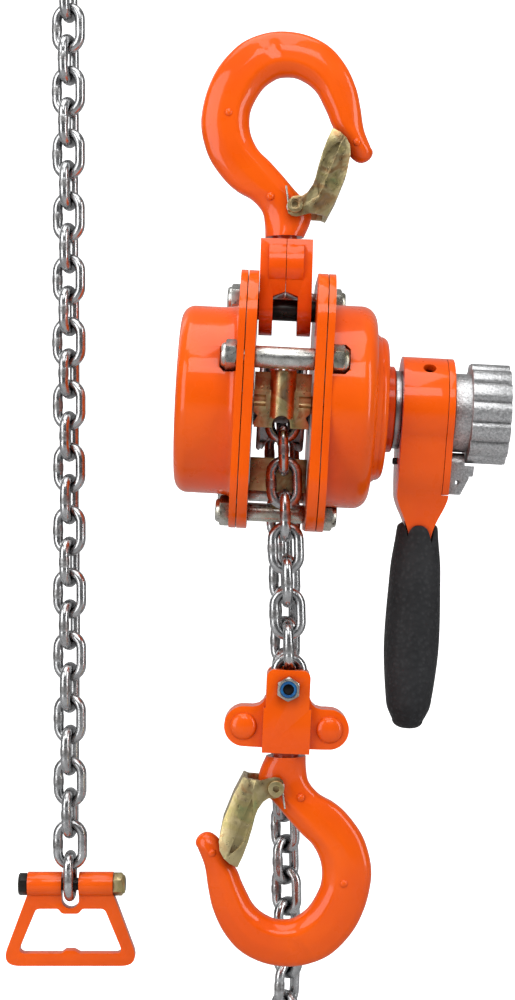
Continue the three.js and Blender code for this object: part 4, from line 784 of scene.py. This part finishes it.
GRIP = [(-41.6, 5.0, 5.2), (-43.2, 7.9, 8.6), (-48.2, 8.45, 9.6), (-57, 9.6, 10.8), (-66.2, 10.1, 11.4), (-78, 10.6, 11.9), (-88.7, 10.65, 12.0), (-98, 10.0, 11.6), (-106.7, 9.0, 10.8), (-111.2, 8.2, 9.8), (-115.7, 6.0, 7.2)]
def grip():
    rows = [(-41.2, 3.6, 3.8), (-41.6, 5.6, 5.9), (-42.4, 7.0, 7.5), (-43.6, 7.9, 8.6)] + GRIP[2:]
    line = [tuple(p) for p in smooth_line(rows, 8)]
    z, a, b = line[-1]
    for k in range(1, 10):
        t = rad(90 * k / 9)
        line.append((z - 3.1 * math.sin(t), max(0.35, a * math.cos(t) ** 0.8), max(0.4, b * math.cos(t) ** 0.8)))
    rings, M = [], 96
    for z, a, b in line:
        r = []
        for i in range(M):
            t = 2 * math.pi * i / M
            c, s = math.cos(t), math.sin(t)
            e = 2 / 2.25
            x, y = a * abs(c) ** e * (1 if c >= 0 else -1), b * abs(s) ** e * (1 if s >= 0 else -1)
            # moulding line down the front and back
            y *= 1 + 0.028 * math.exp(-(x / (0.22 * a + 0.01)) ** 2)
            r.append((54.8 + x, y, z))
        rings.append(r)
    me = loft(rings)
    arm = csg(box(51.1, 59.5, -7.5, 7.5, -57.8, -38), ("+", along_y([(50.9, -51), (59.7, -51), (60.8, -44), (62.9, -40), (62.9, -38), (47.7, -38), (47.7, -40), (49.8, -44)], -8.3, 8.3)))
    return csg(me, ("-", arm))
place("grip_moulding", grip(), T_BODY, RUBBER, "lever", ["lever_grip"], 60)
place("lever_screw", bevelled(cyl_x(1.25, 43.7, 46.2, 0, -19.2, 40), 0.3, 2, 40), T_BODY, BLACK, "lever")

def selector():
    tab = along_y([(65.5, -20), (73.6, -20), (73.4, -24.4), (70.4, -30.6), (65.5, -30.6)], -4.1, 4.1)
    b = csg(cyl_x(4.3, 65.5, 75.2, 0, -19.3, 72), ("+", tab), ("-", cyl_x(20.2, 71.5, 80, 0, 0, 96)), ("+", cyl_x(1.9, 59.6, 66, 0, -19, 48)), ("-", cyl_y(0.85, -6, 6, 69.0, -26.0, 24)))
    return bevelled(b, 0.45, 3, 34)
place("selector_lever", selector(), T_BODY, CAST, "selector", ["selector_knob"], 38)

# ---------------------------------------------------------------- lower block
def fillet_lobe(s):
    """Ear with a concave run into the block wall; s is the side."""
    p = arc(-15.4, -14.6, 7.3, 100, 262, 28) + [(-13.0, -21.95), (-8.0, -22.0), (0, -22.0), (0, -4.0), (-8.2, -4.0), (-8.9, -5.6), (-10.3, -6.8), (-12.4, -7.35), (-14.4, -7.35)]
    return [(s * -1 * x, z) for x, z in p]
def block_half(s):
    depth = 7.9
    y0, y1 = (-depth, -0.06) if s < 0 else (0.06, depth)
    up = [(-7.9, -7.6), (-7.9, 3.8)] + arc(-5.1, 3.8, 2.8, 180, 90, 10) + arc(5.1, 3.8, 2.8, 90, 0, 10) + [(7.9, -7.6)]
    low = [(-8.6, -7.4), (8.6, -7.4), (8.6, -23.6), (-8.6, -23.6)]
    ly0, ly1 = (-5.4, -0.06) if s < 0 else (0.06, 5.4)
    b = csg(along_y(up, y0, y1), ("+", along_y(low, y0, y1)), ("+", along_y(fillet_lobe(-1), ly0, ly1)), ("+", along_y(fillet_lobe(1), ly0, ly1)))
    b = csg(b, ("-", box(-7.3, 7.3, -2.5, 2.5, -8.4, 10)), ("-", box(-2.5, 2.5, -7.0, 7.0, 3.6, 10)), ("-", cyl_y(2.25, -12, 12, 0, 0)),
            ("-", cyl_z(5.8, -26, -13, -0.2, 0, 72)), ("-", cyl_z(7.3, -14.1, -10.0, -0.2, 0, 72)))
    b = bevelled(b, 0.75, 3, 34)
    for x in (-15.6, 15.6):
        sign = -1 if s < 0 else 1
        b = csg(b, ("+", dome(x, -14.6, sign * 5.25, 4.9, 2.15, sign)))
    return b
place("block_front_shell", block_half(-1), T_BLOCK, PAINT, "block", ["block_front_half"], 40)
place("block_rear_shell", block_half(1), T_BLOCK, PAINT, "block", ["block_rear_half"], 40)
place("block_hexbolt", bevelled(csg(cyl_y(1.95, -10.9, 8.1, 0, 0), ("+", hexa("y", 4.2, 8.0, 11.0, 0, 0, 90, 0.45, (0, 1)))), 0.15, 2, 40), T_BLOCK, BLACK, "block", ["block_bolt"])
nut = csg(hexa("y", 4.5, -11.6, -8.0, 0, 0, 90, 0.5, (1, 0)), ("+", cyl_y(3.75, -12.2, -11.5, 0, 0, 64)), ("-", cyl_y(2.05, -20, 0, 0, 0)), ("-", cyl_y(3.1, -13, -11.35, 0, 0, 56)))
place("block_hexnut", bevelled(nut, 0.16, 2, 40), T_BLOCK, ZINC, "block", ["block_nut"])
place("block_nut_insert", bevelled(csg(cyl_y(3.02, -11.95, -11.36, 0, 0, 56), ("-", cyl_y(2.0, -20, 0, 0, 0))), 0.12, 2, 40), T_BLOCK, NYLON, "block")

# ---------------------------------------------------------------- stop handle
def rounded(pts, r, n=6):
    out = []
    m = len(pts)
    for i in range(m):
        a, b, c = Vector(pts[i - 1]), Vector(pts[i]), Vector(pts[(i + 1) % m])
        u, v = (a - b), (c - b)
        rr = r[i] if isinstance(r, (list, tuple)) else r
        half = u.angle(v) / 2
        d = min(rr / math.tan(half), u.length * 0.48, v.length * 0.48)
        p, q = b + u.normalized() * d, b + v.normalized() * d
        for k in range(n + 1):
            t = k / n
            out.append(tuple(p * (1 - t) ** 2 + b * 2 * t * (1 - t) + q * t * t))
    return out
def handle():
    outer = rounded([(-16.2, -3.0), (-26.6, -30.8), (26.6, -30.8), (16.2, -3.0)], [1, 5.2, 5.2, 1], 16)
    hole = rounded([(-13.1, -9.0), (-20.2, -26.1), (-3.4, -26.1), (-1.9, -24.9), (1.4, -24.9), (3.6, -26.1), (20.2, -26.1), (13.1, -9.0), (4.6, -9.0), (3.2, -10.9), (-3.2, -10.9), (-4.6, -9.0)],
                   [2.4, 2.2, 1.4, 1.4, 1.4, 1.4, 2.2, 2.4, 1.6, 2.2, 2.2, 1.6], 8)
    b = bevelled(csg(along_y(outer, -2.35, 2.35), ("-", along_y(hole, -5, 5))), 0.7, 3, 40)
    slot = [(-3.3, 8), (3.3, 8), (3.3, -5.6)] + arc(0, -5.6, 3.3, 0, -180, 20)[1:-1] + [(-3.3, -5.6)]
    b = csg(b, ("+", cyl_x(4.7, -16.3, -3.2, 0, 0, 80)), ("+", cyl_x(4.7, 3.2, 16.3, 0, 0, 80)), ("-", along_y(slot, -6, 6)), ("-", cyl_x(2.7, -30, 30, 0, 0, 56)))
    return bevelled(b, 0.25, 2, 42)
place("stop_handle_frame", handle(), T_HANDLE, PAINT, "stop_handle", ["stop_handle"], 40)
place("stop_hexbolt", bevelled(csg(hexa("x", 4.3, -19.8, -16.6, 0, 0, 90, 0.5, (1, 0)), ("+", cyl_x(2.35, -17, 21.0, 0, 0, 56))), 0.18, 2, 40), T_HANDLE, BLACK, "stop_handle", ["stop_bolt"])
place("stop_hexnut", bevelled(csg(hexa("x", 4.5, 16.5, 19.9, 0, 0, 90, 0.5, (0, 1)), ("+", round_cap(19.8, 20.9, 3.7, 0, 0, 1)), ("-", cyl_x(2.4, 10, 30, 0, 0, 56))), 0.18, 2, 40), T_HANDLE, GOLD, "stop_handle", ["stop_nut"])

# ---------------------------------------------------------------- chains
JOINTS = [[1.57,-15.68,-107.6],[1.26,-15.68,-95.6],[0.94,-15.68,-83.61],[0.63,-15.68,-71.61],[0.32,-15.68,-59.62],[0.01,-15.68,-47.62],[-0.3,-15.68,-35.62],[-0.62,-15.68,-23.63],[-0.93,-15.68,-11.63],[-1.22,-15.67,0.36],[-0.64,-10.86,11.34],[-0.41,0.32,15.7],[-0.66,11.31,10.88],[-1.23,15.69,-0.28],[-0.96,15.91,-12.27],[-0.71,16.14,-24.27],[-0.45,16.36,-36.26],[-0.19,16.59,-48.26],[0.07,16.81,-60.25],[0.33,17.04,-72.25],[0.48,17.23,-84.25],[0.43,17.37,-96.24],[0.38,17.51,-108.24],[0.33,17.65,-120.24],[0.28,17.79,-132.24],[0.23,17.93,-144.24],[0.33,18,-156.24],[0.56,18,-168.24],[0.81,18,-180.23],[1.04,18,-192.23],[1.28,18,-204.23],[1.44,18,-216.23],[0.87,18,-228.22],[-1.37,17.94,-240.0],[-6.99,17.75,-250.61],[-13.78,17.52,-260.5],[-22.27,17.23,-268.98],[-32.7,16.88,-274.9],[-44.4,16.49,-277.53],[-56.38,16.09,-278.0],[-68.37,15.69,-277.88],[-80.28,15.29,-276.42],[-91.42,14.91,-271.97],[-100.77,14.6,-264.46],[-108.21,14.35,-255.05],[-114.29,14.14,-244.7],[-118.5,14,-233.47],[-118.5,14,-221.47],[-118.5,14,-209.47],[-118.5,14,-197.47],[-118.5,14,-185.47],[-118.5,14,-173.47],[-118.5,14,-161.47],[-118.5,14,-149.47],[-118.5,14,-137.47],[-118.5,14,-125.47],[-118.5,14,-113.47],[-118.5,14,-101.47],[-118.5,14,-89.47],[-118.5,14,-77.47],[-118.5,14,-65.47],[-118.5,14,-53.47],[-118.5,14,-41.47],[-118.5,14,-29.47],[-118.5,14,-17.47],[-118.5,14,-5.47],[-118.5,14,6.53],[-118.5,14,18.53],[-118.5,14,30.53],[-118.5,14,42.53],[-118.5,14,54.53],[-118.5,14,66.53],[-118.5,14,78.53],[-118.5,14,90.53],[-118.5,14,102.53],[-118.5,14,114.53],[-118.5,14,126.53],[-118.5,14,138.53],[-118.5,14,150.53],[-118.5,14,162.53],[-118.09,14,174.53],[-111.78,14,184.73],[-100.45,14,188.69],[-89.17,14,184.6],[-82.97,14,174.33],[-82.58,14,162.34],[-82.55,14,150.34],[-82.53,14,138.34],[-82.5,14,126.34],[-82.47,14,114.34],[-82.45,14,102.34],[-82.42,14,90.34],[-82.39,14,78.34],[-82.37,14,66.34],[-82.34,14,54.34],[-82.31,14,42.34],[-82.28,14,30.34],[-82.26,14,18.34],[-82.23,14,6.34],[-82.2,14,-5.66],[-82.18,14,-17.66],[-82.15,14,-29.66],[-82.12,14,-41.66],[-82.1,14,-53.66],[-82.07,14,-65.66],[-82.04,14,-77.66],[-82.02,14,-89.66],[-81.99,14,-101.66],[-81.96,14,-113.66],[-81.94,14,-125.66],[-81.91,14,-137.66],[-81.88,14,-149.66],[-81.85,14,-161.66],[-81.83,14,-173.66],[-81.8,14,-185.66]]
WIDE = [[1.0,0,0.026],[0,1,0],[1.0,0,0.026],[0,1,0],[1.0,0,0.026],[0,1,0],[1.0,0,0.026],[0,1,0],[1.0,0.0,0.024],[-0.021,0.916,-0.401],[0.999,0,-0.052],[-0.048,-0.402,-0.914],[0.999,0.017,-0.043],[0,-1.0,-0.019],[1.0,-0.0,0.022],[0,-1.0,-0.019],[0.985,-0.174,0.018],[-0.342,-0.94,-0.025],[0.866,-0.5,0.009],[-0.643,-0.766,-0.021],[0.766,-0.643,-0.011],[-0.643,-0.766,-0.006],[0.766,-0.643,-0.011],[-0.643,-0.766,-0.006],[0.766,-0.643,-0.011],[-0.643,-0.766,-0.01],[0.766,-0.643,0.015],[-0.643,-0.766,-0.013],[0.766,-0.643,0.015],[-0.643,-0.766,-0.013],[0.766,-0.643,0.01],[-0.642,-0.766,0.031],[0.753,-0.643,-0.14],[-0.562,-0.766,0.311],[0.638,-0.643,-0.423],[-0.441,-0.766,0.468],[0.395,-0.642,-0.657],[-0.116,-0.766,0.633],[0.052,-0.642,-0.765],[0.032,-0.766,0.642],[-0.072,-0.642,-0.763],[0.251,-0.788,0.562],[-0.495,-0.588,-0.64],[-0.449,0.829,-0.334],[0.727,0.53,0.438],[-0.472,0.866,-0.166],[0.883,0.469,0],[-0.438,0.899,0],[0.913,0.407,0],[-0.375,0.927,0],[0.94,0.342,0],[-0.309,0.951,0],[0.961,0.276,0],[-0.242,0.97,0],[0.978,0.208,0],[-0.174,0.985,0],[0.99,0.139,0],[-0.104,0.995,0],[0.998,0.07,0],[-0.035,0.999,0],[-1,0,0],[0,-1,0],[-1,0,0],[0,-1,0],[-1,0,0],[0,-1,0],[-1,0,0],[0,-1,0],[-1,0,0],[0,-1,0],[-1,0,0],[0,-1,0],[-1,0,0],[0,-1,0],[-1,0,0],[0.024,-1.0,0],[-0.999,-0.048,0],[0.072,-0.997,0],[-0.995,-0.097,0],[0.12,-0.993,-0.004],[-0.842,-0.144,0.52],[0.056,-0.986,-0.159],[0.334,-0.192,0.923],[-0.185,-0.976,-0.112],[0.97,-0.239,0.031],[-0.263,-0.965,-0.001],[0.958,-0.286,0.002],[-0.309,-0.951,-0.001],[0.951,-0.309,0.002],[-0.309,-0.951,-0.001],[0.951,-0.309,0.002],[-0.309,-0.951,-0.001],[0.951,-0.309,0.002],[-0.309,-0.951,-0.001],[0.951,-0.309,0.002],[-0.309,-0.951,-0.001],[0.951,-0.309,0.002],[-0.309,-0.951,-0.001],[0.951,-0.309,0.002],[-0.309,-0.951,-0.001],[0.951,-0.309,0.002],[-0.309,-0.951,-0.001],[0.951,-0.309,0.002],[-0.309,-0.951,-0.001],[0.951,-0.309,0.002],[-0.309,-0.951,-0.001],[0.951,-0.309,0.002],[-0.309,-0.951,-0.001],[0.951,-0.309,0.002],[-0.309,-0.951,-0.001],[0.968,-0.25,0.002],[-0.191,-0.982,-0.0],[0.991,-0.131,0.002],[-0.07,-0.998,-0.0]]
WIRE, PITCH, WIDTH = 3.8, 12.0, 13.3

def chain_piece(name, spans, body, stands_for):
    """spans are (joint a, joint b, width direction, weld side)."""
    vs, fs, weld = [], [], []
    sides, na, ns = 16, 14, 9
    bend = (WIDTH - WIRE) / 2
    for idx, (p, q, w, ws) in enumerate(spans):
        p, q, w = Vector(p), Vector(q), Vector(w)
        t = (q - p).normalized()
        c = (p + q) / 2
        w = (w - t * w.dot(t)).normalized()
        n = t.cross(w)
        top = PITCH / 2 + WIRE / 2 - bend
        path = []
        for i in range(na + 1):
            a = rad(-90 + 180 * i / na)
            path.append((-bend * math.sin(-a) * -1, top + bend * math.cos(a), 0.0))
        path = []
        for i in range(na + 1):              # crown at +t, from -w to +w
            a = rad(180 - 180 * i / na)
            path.append((bend * math.cos(a), top + bend * math.sin(a), 0.0))
        for i in range(1, ns + 1):           # down the +w side
            y = top - 2 * top * i / (ns + 1)
            path.append((bend, y, 1.0 if ws > 0 else 0.0))
        for i in range(na + 1):              # crown at -t
            a = rad(0 - 180 * i / na)
            path.append((bend * math.cos(a), -top + bend * math.sin(a), 0.0))
        for i in range(1, ns + 1):           # up the -w side
            y = -top + 2 * top * i / (ns + 1)
            path.append((-bend, y, 1.0 if ws < 0 else 0.0))
        m = len(path)
        base = len(vs)
        for i, (x, y, on) in enumerate(path):
            xa, ya, _ = path[i - 1]
            xb, yb, _ = path[(i + 1) % m]
            tx, ty = xb - xa, yb - ya
            l = math.hypot(tx, ty)
            tx, ty = tx / l, ty / l
            f = 0.0
            if on:
                f = max(0.0, 1 - (abs(y) / 1.7) ** 4)
            r = WIRE / 2 * (1 + 0.075 * f) * (1 if not on else 1)
            for j in range(sides):
                b = 2 * math.pi * j / sides
                rr = r * (1 + 0.02 * f * math.sin(3 * b + idx))
                o, h = rr * math.cos(b), rr * math.sin(b)
                vs.append(tuple(c + w * (x + ty * o) + t * (y - tx * o) + n * h))
                weld.append(min(1.0, f * 1.1))
        for i in range(m):
            i2 = (i + 1) % m
            for j in range(sides):
                k = (j + 1) % sides
                fs.append((base + i * sides + j, base + i * sides + k, base + i2 * sides + k, base + i2 * sides + j))
    me = bpy.data.meshes.new(name)
    me.from_pydata(vs, [], fs)
    bm = bmesh.new(); bm.from_mesh(me); bmesh.ops.recalc_face_normals(bm, faces=bm.faces); bm.to_mesh(me); bm.free()
    a = me.attributes.new("weld", "FLOAT", "POINT")
    a.data.foreach_set("value", np.array(weld, np.float32))
    return place(name, me, ONE, CHAIN, body, stands_for, 70)

def spans(a, b):
    out = []
    for i in range(a, b):
        p, q, w = Vector(JOINTS[i]), Vector(JOINTS[i + 1]), Vector(WIDE[i])
        ws = -1 if (w.x if abs(w.x) > abs(w.y) else w.y) > 0 else 1
        t = (q - p).normalized()
        play = rad(3.2 * math.sin(i * 2.399 + 0.7)) if (i < 7 or i > 16) and i < len(JOINTS) - 2 else 0.0
        w = Matrix.Rotation(play, 3, t) @ w
        out.append((p, q, w, ws))
    return out

N = len(JOINTS) - 1
chain_piece("load_chain_links", spans(0, 8), "load_chain", ["load_chain"])
chain_piece("sheave_chain_links", spans(8, 14), "sheave", ["sheave_chain"])
chain_piece("slack_chain_links_1", spans(14, 48), "slack_chain", ["slack_chain_1"])
chain_piece("slack_chain_links_2", spans(48, N - 37), "slack_chain", ["slack_chain_2"])
chain_piece("slack_chain_links_3", spans(N - 37, N), "slack_chain", ["slack_chain_3"])

# ---------------------------------------------------------------- carried-over CAD nodes
KEEP = {"gear_side_bearing": STEEL, "brake_side_bearing": STEEL, "load_gear": STEEL, "upper_idler_gear": STEEL, "lower_idler_gear": STEEL,
        "friction_hub": STEEL, "ratchet_disc": STEEL, "brake_pawl_upper": STEEL, "brake_pawl_lower": STEEL, "change_pawl": STEEL,
        "friction_disc_inner": LINING, "friction_disc_outer": LINING}
for n, material in KEEP.items():
    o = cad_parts[n]
    o.data.materials.clear()
    o.data.materials.append(material)
    md = o.modifiers.new("edges", "BEVEL")
    md.width, md.segments, md.limit_method, md.angle_limit = 0.00012, 2, "ANGLE", rad(35)

# ---------------------------------------------------------------- stage
def stage_mesh():
    rows = [(-2.5, 0.0), (0.9, 0.0)] + [(0.9 + 0.6 * math.sin(rad(a)), 0.6 - 0.6 * math.cos(rad(a))) for a in range(6, 91, 6)] + [(1.5, 2.6)]
    vs, fs = [], []
    for y, z in rows:
        vs += [(-3.2, y, z - 0.4222), (3.2, y, z - 0.4222)]
    for i in range(len(rows) - 1):
        fs.append((2 * i, 2 * i + 1, 2 * i + 3, 2 * i + 2))
    me = bpy.data.meshes.new("floor")
    me.from_pydata(vs, [], fs)
    me.shade_smooth()
    m = Mat("pale_floor")
    seen = m.add("ShaderNodeLightPath").outputs["Is Camera Ray"]
    m.set(base=m.mix(seen, (0.34, 0.34, 0.345), m.ramp(m.noise(3, 2), (0.3, (0.86, 0.86, 0.865)), (0.7, (0.89, 0.89, 0.89)))), rough=0.6, spec=0.2)
    m.link(m.remap(seen, 0.0, 1.0, 0.16, 0.92), m.b.inputs["Emission Strength"])
    m.b.inputs["Emission Color"].default_value = (1, 1, 1, 1)
    # clear from behind, so the object can be seen from any side
    clear, blend = m.add("ShaderNodeBsdfTransparent"), m.add("ShaderNodeMixShader")
    m.link(m.add("ShaderNodeNewGeometry").outputs["Backfacing"], blend.inputs[0])
    m.link(m.b.outputs[0], blend.inputs[1])
    m.link(clear.outputs[0], blend.inputs[2])
    surface = next(n for n in m.m.node_tree.nodes if n.type == "OUTPUT_MATERIAL").inputs["Surface"]
    m.link(blend.outputs[0], surface)
    me.materials.append(m.m)
    o = bpy.data.objects.new("floor", me)
    scene.collection.objects.link(o)
stage_mesh()

def area(name, loc, target, sx, sy, power, colour=(1, 1, 1)):
    d = bpy.data.lights.new(name, "AREA")
    d.shape, d.size, d.size_y, d.energy, d.color = "RECTANGLE", sx, sy, power, colour
    o = bpy.data.objects.new(name, d)
    o.location = Vector(loc) + Vector((0, 0, -SEAT / 1000))
    o.rotation_euler = (Vector(target) - Vector(loc)).to_track_quat("-Z", "Y").to_euler()
    scene.collection.objects.link(o)
area("top", (-0.15, -0.25, 1.15), (0, 0, 0), 1.1, 0.9, 8.6)
area("left", (-1.0, -0.85, 0.30), (0, 0, -0.02), 0.75, 1.2, 9.2)
area("right", (1.15, -0.65, 0.30), (0, 0, -0.02), 0.35, 1.2, 6.6)
area("front", (0.10, -1.35, 1.10), (0, 0, -0.02), 1.0, 0.55, 7.0)
area("back_left", (-0.9, 0.9, 0.7), (0, 0, 0), 0.5, 0.9, 1.6)

w = bpy.data.worlds.new("studio")
scene.world = w
w.use_nodes = True
nt = w.node_tree
bg = nt.nodes["Background"]
tc = nt.nodes.new("ShaderNodeTexCoord")
sep = nt.nodes.new("ShaderNodeSeparateXYZ")
nt.links.new(tc.outputs["Generated"], sep.inputs[0])
ramp = nt.nodes.new("ShaderNodeValToRGB")
e = ramp.color_ramp.elements
e[0].position, e[0].color = 0.0, (0.42, 0.42, 0.43, 1)
e[1].position, e[1].color = 1.0, (0.9, 0.9, 0.9, 1)
mid = e.new(0.42); mid.color = (0.22, 0.22, 0.23, 1)
mid = e.new(0.55); mid.color = (0.40, 0.40, 0.41, 1)
rng = nt.nodes.new("ShaderNodeMapRange")
rng.inputs["From Min"].default_value, rng.inputs["From Max"].default_value = -1.0, 1.0
nt.links.new(sep.outputs["Z"], rng.inputs["Value"])
nt.links.new(rng.outputs["Result"], ramp.inputs["Fac"])
nt.links.new(ramp.outputs["Color"], bg.inputs["Color"])
bg.inputs["Strength"].default_value = 0.29
# plain white where the camera sees past the floor
plain, which = nt.nodes.new("ShaderNodeBackground"), nt.nodes.new("ShaderNodeMixShader")
plain.inputs["Color"].default_value = (1, 1, 1, 1)
plain.inputs["Strength"].default_value = 1.0
nt.links.new(nt.nodes.new("ShaderNodeLightPath").outputs["Is Camera Ray"], which.inputs[0])
nt.links.new(bg.outputs[0], which.inputs[1])
nt.links.new(plain.outputs[0], which.inputs[2])
nt.links.new(which.outputs[0], nt.nodes["World Output"].inputs["Surface"])

cam = bpy.data.cameras.new("camera")
cam.sensor_width, cam.lens = 36.0, 63.43
cam.clip_start, cam.clip_end = 0.02, 20
camera = bpy.data.objects.new("camera", cam)
camera.location = (-0.0102, -0.660, -0.1582)
camera.rotation_euler = (math.pi / 2, 0, 0)
scene.collection.objects.link(camera)
scene.camera = camera
scene.view_settings.view_transform = "Standard"
scene.view_settings.look = "None"

bpy.context.view_layer.update()
